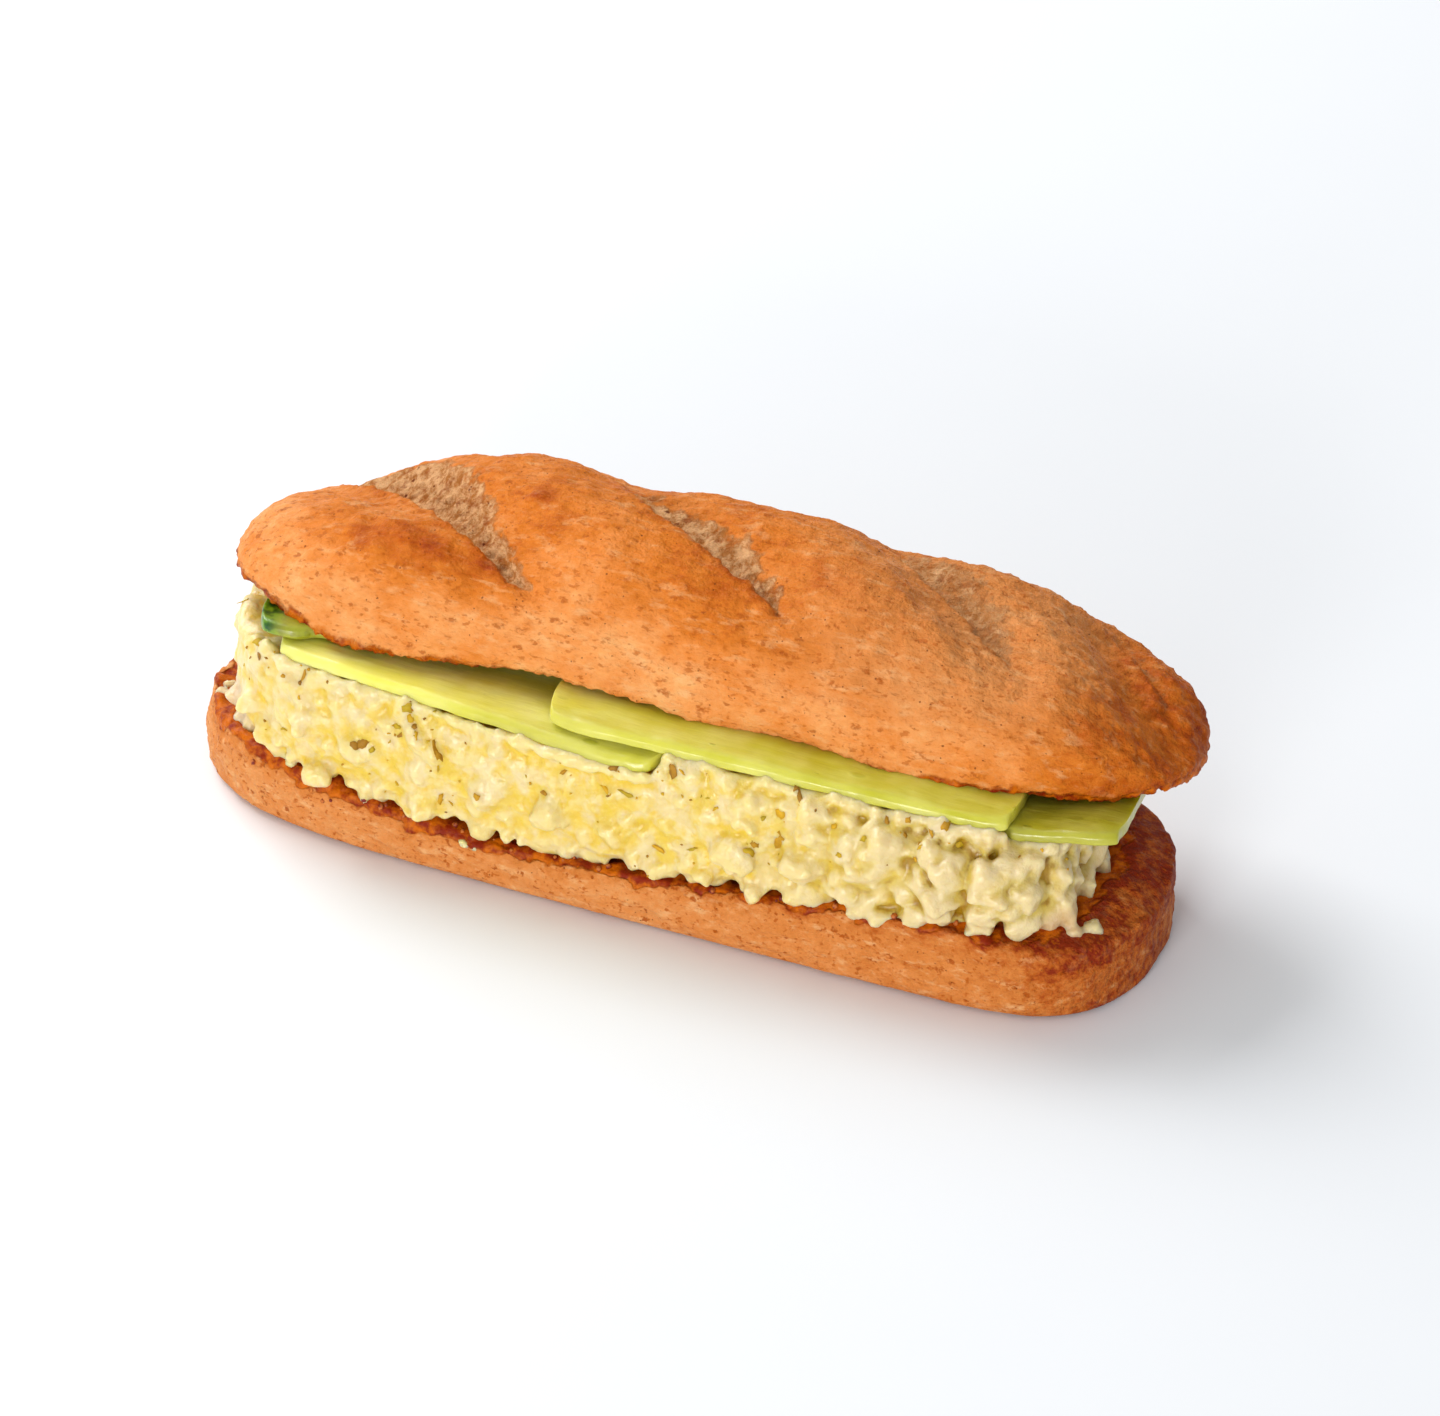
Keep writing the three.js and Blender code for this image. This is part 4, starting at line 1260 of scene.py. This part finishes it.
lumps = lumps_in_view(LUMPS_SEEN, CHUNKS, 14)
bits = lumps_in_view(CREAM_SEEN, SOFT_CURDS, 15)
print("lumps in view:", len(lumps), "and creamy bits:", len(bits))

# %% [markdown]
# The slices were pressed down on the cheese, so it meets their front edges without a gap. A row of
# curds is set along each edge that shows, and where the heap lies lower, a few more bridge the way
# down to it.

# %% Curds pressed against the slices
PRESSED_STEP = 2.3
PRESSED_ALONG = {
    "slice_front_left": (-79, 6),
    "slice_front_middle": (8, 77),
    "slice_right": (77, 88),
}
TOO_HIGH = 8 * MM  # an edge that is further from the heap gets no curds
LINK = 1.3 * MM


def pressed_curds(seed):
    dice = np.random.default_rng(seed)
    curds = []
    for name, (start, end) in PRESSED_ALONG.items():
        points = points_of(bpy.data.objects[name].data) / MM
        for x in np.arange(start, end, PRESSED_STEP):
            beside = points[np.abs(points[:, 0] - x) < 1.0]
            front = beside[beside[:, 1] < beside[:, 1].min() + 1.5]
            edge = Vector((x, front[:, 1].min(), front[:, 2].min()))
            place = (edge + Vector((0, dice.uniform(-0.3, 0.7), dice.uniform(-1.3, -0.3)))) * MM
            radius = dice.uniform(1.3, 2.1) * MM
            carried, _, _, gap = heap_tree.find_nearest(place)
            if gap > TOO_HIGH:
                continue
            links = 1 + int(gap / LINK)
            for link in range(links):
                shape = SOFT_CURDS[dice.integers(len(SOFT_CURDS))]
                stretch = Vector((1.0, dice.uniform(0.8, 1.2), dice.uniform(0.7, 1.0)))
                where = place.lerp(carried, link / links)
                curds.append(Curd(shape, where, radius, turn_at_random(dice), stretch))
    return curds


pressed = pressed_curds(16)
print("curds pressed against the slices:", len(pressed))

# %% [markdown]
# The curds alone would leave holes. The CAD heap, set back a little, fills them. It and the curds
# are put in one bmesh, and a voxel net over all of it gives one closed skin. The front and the
# back get a net each, so that neither has too many faces, and overlap under the bread.

# %% Inside of the heap
CORE_NET = {"rounding": 0, "grid": 1.6, "calm": 12}
CORE_INSET = 0.5
CORE_INSET_MORE = 0.8
core_bm = bmesh.new()
core_bm.from_mesh(heap_shape.data)
core = object_from("halloumi_inside", core_bm)
even_net(core, **CORE_NET)
core_points = points_of(core.data)
inset = CORE_INSET + CORE_INSET_MORE * smooth(MELTED_TO, LUMPS_FROM, core_points[:, 0] / MM)
push_out(core.data, core_points, normals_of(core.data), -inset)

# %% Two halves of the filling
SEAM_AT = 4.0  # how far each half reaches past the middle
FRONT_GRID = 0.6
BACK_GRID = 0.66


def heap_part(name, curds, front):
    """One half of the filling: its share of the inside and its curds, joined in one bmesh."""
    bm = bmesh.new()
    bm.from_mesh(core.data)
    facing = Vector((0, 1, 0)) if front else Vector((0, -1, 0))
    place = Vector((0, (SEAM_AT if front else -SEAM_AT) * MM, 0))
    everything = [*bm.verts, *bm.edges, *bm.faces]
    bmesh.ops.bisect_plane(bm, geom=everything, plane_co=place, plane_no=facing, clear_outer=True)
    bmesh.ops.holes_fill(bm, edges=[edge for edge in bm.edges if edge.is_boundary])
    for curd in curds:
        if (curd.place.y < place.y) != front:
            continue
        mesh = curd.shape.copy()
        size = Matrix.Diagonal((*(curd.stretch * curd.radius), 1))
        mesh.transform(Matrix.Translation(curd.place) @ curd.turn @ size)
        bm.from_mesh(mesh)
        bpy.data.meshes.remove(mesh)
    return object_from(name, bm)


def relax(places, mesh, strength, rounds):
    """Moves each point towards the middle of its neighbours, by its own strength."""
    edges = np.empty(len(mesh.edges) * 2, int)
    mesh.edges.foreach_get("vertices", edges)
    start, end = edges.reshape(-1, 2).T
    count = np.bincount(start, minlength=len(places)) + np.bincount(end, minlength=len(places))
    for _ in range(rounds):
        around = np.zeros_like(places)
        for axis in range(3):
            around[:, axis] = np.bincount(start, places[end, axis], len(places))
            around[:, axis] += np.bincount(end, places[start, axis], len(places))
        places = places + strength[:, None] * (around / count[:, None] - places)
    return places


def finish_heap(piece, grid, rounds):
    """Lays the net, softens it where curds have run together, and adds the cheese's grain."""
    even_net(piece, rounding=0, grid=grid, calm=1)
    mesh = piece.data
    places = points_of(mesh)
    x, _, z = places.T / MM
    apart = smooth(MELTED_TO, LUMPS_FROM, x)
    over_foot = smooth(3, 9, z - rim_height(x))
    places = relax(places, mesh, (0.72 - 0.57 * apart) * (0.6 + 0.4 * over_foot), rounds)
    left_end = smooth(84, 93, -places[:, 0] / MM)
    places = relax(places, mesh, 0.7 * left_end * over_foot, 8)
    move_points(mesh, places)
    normals = normals_of(mesh)
    mm = places / MM
    strands = mottle(mm * [1, 1, 0.8], 2.2, seed=41) * (1 - apart)
    grain = mottle(mm, 1.4, seed=42)
    swells = mottle(mm, 4.0, seed=43)
    rough = 0.28 * strands + 0.18 * grain + 0.36 * swells * (1 - 0.6 * apart)
    places = push_out(mesh, places, normals, rough)
    calm = relax(places, mesh, np.full(len(places), 0.6), 70)
    proud = np.sum((places - calm) * normals, axis=1) / MM
    keep(mesh, proud=proud, apart=apart)
    shares = [round(float(share), 2) for share in np.percentile(proud, [5, 25, 50, 75, 95])]
    print(piece.name, "stands proud by, in mm:", shares, "with", len(places), "points")


all_curds = big + small + nubs + lumps + bits + pressed
front_heap = heap_part("halloumi_front", all_curds, front=True)
finish_heap(front_heap, FRONT_GRID, rounds=5)
back_heap = heap_part("halloumi_back", all_curds, front=False)
finish_heap(back_heap, BACK_GRID, rounds=3)
bpy.data.objects.remove(core)

# %% [markdown]
# ## Finish of the halloumi
#
# Moist halloumi is cream to lemon yellow. Light goes a few millimetres into it, so the curds glow.
# Their hollows and gaps are painted a deeper yellow and olive as painted shade, paler towards the
# proud tops. Here and there oil has soaked in as clear amber blotches, more on the left than on
# the right, where the lumps are paler and drier.

# %% Halloumi finish
CREAM_AT = (-95, -17, 16)  # the creamy strand on the rim at the left end, in mm
CLEAR_AT = (91, -27, 19)  # the clear bits on the rim at the right end
MELTED = (seen(244, 210, 78), seen(240, 219, 148))
HOLLOW_PAINTED_SHADE = seen(184, 140, 22)
HOLLOW_EDGE_PAINTED_SHADE = seen(222, 196, 104)
LUMP_TOP = seen(234, 213, 160)
OIL = seen(238, 204, 64)
WHITE = seen(242, 224, 178)
CREAM = seen(224, 200, 166)
CLEAR = seen(226, 190, 146)


def halloumi_finish(name):
    f = Finish(name)
    place = f.place()
    apart = f.kept("apart")
    proud = f.kept("proud")
    height = proud + (f.cloud(place, 2.4, 3.0) - 0.5) * 0.9
    # painted shade: deeper yellow and olive where a point lies low, paler where it stands proud
    together = f.mix(height.rise(-0.6, 0.3), *MELTED)
    lumps = f.mix(height.rise(-0.9, -0.3), HOLLOW_PAINTED_SHADE, HOLLOW_EDGE_PAINTED_SHADE)
    lumps = f.mix(height.rise(-0.3, 0.5), lumps, LUMP_TOP)
    colour = f.mix(apart, together, lumps)
    oil = f.cloud(f.warp(place, 1.6, 2.4), 5.2, 2.0).rise(0.5, 0.62)
    oil = oil * (1 - proud.rise(0.2, 0.9))
    colour = f.mix(oil * (0.7 - apart * 0.4), colour, OIL)
    white = f.cloud(place, 4.6, 3.0).rise(0.46, 0.62)
    in_painted_shade = (1 - proud.rise(-0.8, 0.0)) * apart
    colour = f.mix(white * (1 - in_painted_shade) * (0.6 - 0.2 * apart), colour, WHITE)
    cream = 1 - f.away_from(place, CREAM_AT).rise(6.0, 13.0)
    colour = f.mix(cream * 0.85, colour, CREAM)
    clear = 1 - f.away_from(place, CLEAR_AT).rise(3.0, 7.0)
    colour = f.mix(clear * 0.7, colour, CLEAR)
    grain = f.cloud(place, 0.7, 3.0) * 0.2 + f.cloud(place, 1.8, 3.0) * 0.7
    return f.done(
        Base_Color=colour,
        Roughness=0.28 + f.cloud(place, 1.8) * 0.22,
        Normal=f.bump(grain, 0.6),
        Subsurface_Weight=0.8,
        Subsurface_Radius=(1.0, 0.8, 0.4),
        Subsurface_Scale=3.5 * MM,
        Coat_Weight=0.2,
        Coat_Roughness=0.2,
    )


halloumi_material = halloumi_finish("halloumi_moist")
finish_piece(front_heap, halloumi_material, "halloumi", "halloumi_crumble")
finish_piece(back_heap, halloumi_material, "halloumi", "halloumi_crumble")

# %% [markdown]
# ## Dried herb
#
# Olive-brown flakes of dried herb lie on the cheese, one to five millimetres long. Each is a thin,
# ragged leaf. The ones that the photograph shows are found by a ray from the camera, so that they
# lie on the cheese itself, and a few more are strewn over the sides that it doesn't show.

# %% Herb flakes
Flake = namedtuple("Flake", "across down long wide")
HERBS_SEEN = [
    Flake(258, 642, 2.2, 2.0), Flake(259, 655, 1.7, 1.5), Flake(283, 676, 1.0, 0.8),
    Flake(304, 675, 2.4, 0.9), Flake(300, 683, 1.0, 0.8), Flake(299, 698, 1.9, 0.7),
    Flake(284, 729, 1.6, 0.7), Flake(408, 708, 3.0, 2.4), Flake(410, 717, 2.2, 1.6),
    Flake(397, 726, 1.4, 1.1), Flake(401, 735, 1.6, 1.0), Flake(415, 727, 1.2, 1.0),
    Flake(416, 736, 1.6, 0.6), Flake(437, 752, 4.2, 2.4), Flake(438, 767, 2.6, 0.6),
    Flake(363, 742, 2.8, 2.5), Flake(355, 746, 2.2, 2.0), Flake(372, 750, 1.3, 1.2),
    Flake(397, 784, 0.8, 0.7), Flake(441, 798, 2.6, 1.2), Flake(451, 803, 1.4, 0.6),
    Flake(477, 797, 1.5, 1.2), Flake(530, 783, 1.2, 0.5), Flake(543, 792, 2.6, 0.9),
    Flake(564, 772, 1.6, 0.8), Flake(605, 788, 3.2, 1.2), Flake(627, 794, 3.2, 0.9),
    Flake(614, 768, 2.3, 1.6), Flake(673, 770, 3.6, 2.0), Flake(682, 772, 1.6, 0.5),
    Flake(708, 798, 1.3, 0.5), Flake(715, 809, 1.7, 0.6), Flake(693, 849, 2.2, 0.6),
    Flake(658, 849, 2.8, 1.6), Flake(644, 881, 2.0, 1.5), Flake(780, 813, 2.2, 1.9),
    Flake(764, 818, 1.4, 1.1), Flake(796, 787, 2.6, 1.4), Flake(800, 798, 5.2, 1.3),
    Flake(777, 839, 3.8, 2.8), Flake(755, 844, 2.0, 1.4), Flake(749, 852, 3.0, 1.3),
    Flake(834, 827, 1.6, 1.2), Flake(839, 855, 1.3, 1.2), Flake(864, 839, 1.5, 1.1),
    Flake(886, 820, 1.8, 1.2), Flake(908, 820, 1.5, 1.1), Flake(905, 835, 1.1, 0.8),
    Flake(931, 833, 2.6, 1.6), Flake(946, 826, 2.2, 1.6), Flake(920, 847, 1.3, 1.0),
    Flake(915, 859, 1.9, 1.2), Flake(960, 843, 2.8, 1.3), Flake(1031, 830, 1.2, 0.9),
    Flake(1042, 850, 1.0, 0.8), Flake(1067, 859, 1.0, 0.8),
]
HERB_SPREAD = 1.2
HERB_LEAN = 0.3
HERB_THICK = 0.14
HERB_BOW = 0.22  # how far a flake's tips bend up, over its length
cheese_tree = tree_of(front_heap.data, back_heap.data)
herb_dice = np.random.default_rng(17)
herb_bm = bmesh.new()
shade_layer = herb_bm.verts.layers.float.new("shade")


def add_flake(place, normal, long, wide, tone):
    """One ragged leaf that lies on the surface."""
    leaf = {"cap_ends": True, "segments": 11, "radius": 0.5 * HERB_SPREAD}
    made = bmesh.ops.create_circle(herb_bm, **leaf)["verts"]
    for vert in made:
        vert.co *= herb_dice.uniform(0.55, 1.15)
    faces = list({face for vert in made for face in vert.link_faces})
    solid = bmesh.ops.extrude_face_region(herb_bm, geom=faces)["geom"]
    lifted = [item for item in solid if isinstance(item, bmesh.types.BMVert)]
    bmesh.ops.translate(herb_bm, verts=lifted, vec=(0, 0, HERB_THICK / long))
    whole = made + lifted
    for vert in whole:
        x, y, z = vert.co
        vert.co = Vector((x * long, y * wide, z * long + HERB_BOW * x**2 * long)) * MM
        vert[shade_layer] = tone
    tilt = Matrix.Rotation(herb_dice.uniform(-HERB_LEAN, HERB_LEAN), 4, "X")
    lean = tilt @ Matrix.Rotation(herb_dice.uniform(-HERB_LEAN, HERB_LEAN), 4, "Y")
    spin = Matrix.Rotation(herb_dice.uniform(0, math.tau), 4, "Z")
    facing = normal.to_track_quat("Z", "Y").to_matrix().to_4x4()
    where = Matrix.Translation(place - normal * 0.06 * MM)
    bmesh.ops.transform(herb_bm, matrix=where @ facing @ lean @ spin, verts=whole)


found = 0
for flake in HERBS_SEEN:
    place, normal, _, _ = cheese_tree.ray_cast(*through_photo(flake.across, flake.down))
    if place is None:
        continue
    found += 1
    add_flake(place, normal, flake.long, flake.wide, tone=herb_dice.random())

# %% Herb dust, and flakes where the photograph doesn't look
HERB_DUST = 90
DUST_REACH = 16  # how far the dust lies from a flake, in pixels of the photograph
HERBS_ELSEWHERE = 60
ELSEWHERE_FROM = -14 * MM  # what lies further forward is seen in the photograph
HERB_GAP = 7.0
HERB_ROOM = 1.5 * MM


def add_some_flake(place, normal, sizes, slim):
    """A flake of random tone and size, at most as slim as the second pair of limits says."""
    tone = herb_dice.random()
    size = herb_dice.uniform(*sizes)
    add_flake(place, normal, size, size * herb_dice.uniform(*slim), tone)


dust = 0
for _ in range(HERB_DUST):
    beside = HERBS_SEEN[herb_dice.integers(len(HERBS_SEEN))]
    across = beside.across + herb_dice.normal() * DUST_REACH
    down = beside.down + herb_dice.normal() * DUST_REACH
    ray = through_photo(across, down)
    place, normal, _, _ = cheese_tree.ray_cast(*ray)
    if place is None or lid_tree.ray_cast(*ray)[0] is not None:
        continue
    dust += 1
    add_some_flake(place, normal, sizes=(0.35, 0.8), slim=(0.5, 0.9))
strewn = 0
for place, normal in wall_places(lambda x: HERB_GAP, tries=3000, seed=19):
    if place.y <= ELSEWHERE_FROM or strewn >= HERBS_ELSEWHERE:
        continue
    on, facing, _, _ = cheese_tree.ray_cast(place + normal * 12 * MM, -normal)
    if on is None or ceiling_over(on) - on.z < HERB_ROOM:
        continue
    strewn += 1
    add_some_flake(on, facing, sizes=(0.8, 3.2), slim=(0.4, 0.9))
bmesh.ops.recalc_face_normals(herb_bm, faces=herb_bm.faces)
herbs = object_from("herb_flakes", herb_bm)
shade_smoothly(herbs.data)
print("herb flakes:", found, "seen,", dust, "of dust,", strewn, "elsewhere")

# %% [markdown]
# Each flake keeps a tone of its own, from dark olive through straw to green, and a fine grain.

# %% Herb finish
HERB_TONES = [
    (0.0, seen(118, 82, 8)),
    (0.3, seen(184, 132, 16)),
    (0.55, seen(230, 176, 34)),
    (0.8, seen(200, 168, 30)),
    (1.0, seen(146, 130, 20)),
]


def herb_finish(name):
    f = Finish(name)
    place = f.place()
    tone = f.kept("shade") * 0.7 + f.cloud(place, 0.8, 3.0) * 0.3
    colour = f.ramp(tone, HERB_TONES)
    return f.done(
        Base_Color=colour,
        Roughness=0.6 + f.cloud(place, 0.6) * 0.2,
        Normal=f.bump(f.cloud(place, 0.35, 3.0), 0.1),
    )


finish_piece(herbs, herb_finish("dried_herb"), "halloumi")
bpy.data.objects.remove(heap_shape)

# %% [markdown]
# ## Toast crumbs
#
# The knife left loose crumbs on the toasted rim. They are small, angular and as dark as the rim,
# and they lie where a ray from above meets the band beside the cheese.

# %% Toast crumbs
TOAST_CRUMBS = 60
CRUMB_TRIES = 6 * TOAST_CRUMBS
CRUMB_REACH = 86
FRONT_SHARE = 0.65  # how many of the crumbs lie at the front
CRUMB_DARK = seen(128, 48, 18)
CRUMB_LIGHT = seen(206, 116, 54)
crumb_dice = np.random.default_rng(23)
crumb_bm = bmesh.new()
laid = 0
for _ in range(CRUMB_TRIES):
    if laid >= TOAST_CRUMBS:
        break
    x_mm = crumb_dice.uniform(-1, 1) * CRUMB_REACH
    square = SQUARE_LEFT if x_mm < 0 else SQUARE_RIGHT
    half_width = BASE_HALF_WIDTH * max(0.0, 1 - abs(x_mm / BASE_HALF_LENGTH) ** square) ** 0.5
    side = -1 if crumb_dice.random() < FRONT_SHARE else 1
    y_mm = side * (half_width - crumb_dice.uniform(0.6, 3.2))
    place = Vector(((x_mm + BASE_AT[0]) * MM, (y_mm + BASE_AT[1]) * MM, ABOVE_ALL))
    if heap_tree.ray_cast(place, DOWN)[0] is not None and crumb_dice.random() < 0.8:
        continue
    over_rim = Vector((place.x, place.y, rim_height(x_mm) * MM + 4 * MM))
    on = floor_tree.ray_cast(over_rim, DOWN)[0]
    if on is None or on.z < 8 * MM:
        continue
    laid += 1
    size = crumb_dice.uniform(0.3, 0.85) * MM
    made = bmesh.ops.create_icosphere(crumb_bm, subdivisions=1, radius=1.0)["verts"]
    for vert in made:
        vert.co *= crumb_dice.uniform(0.7, 1.25) * size
    bmesh.ops.translate(crumb_bm, verts=made, vec=on + Vector((0, 0, size * 0.35)))
crumbs = object_from("toast_crumbs", crumb_bm)
shade_smoothly(crumbs.data)
print("toast crumbs:", laid)


def toast_crumb_finish(name):
    f = Finish(name)
    place = f.place()
    colour = f.mix(f.cloud(place, 1.2, 3.0).rise(0.4, 0.6), CRUMB_DARK, CRUMB_LIGHT)
    return f.done(
        Base_Color=colour,
        Roughness=0.45 + f.cloud(place, 0.9) * 0.2,
        Normal=f.bump(f.cloud(place, 0.4, 3.0), 0.2),
    )


finish_piece(crumbs, toast_crumb_finish("toast_crumbs"), "bread_base")

# %% [markdown]
# ## Size
#
# The box of the imported model and the box of the finished sandwich are printed, so that they
# can be compared.

# %% Measure the boxes
size = {"cad": [list(corner) for corner in CAD_BOX], "visual": [list(corner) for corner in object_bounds()]}
print("boxes in metres:", size)
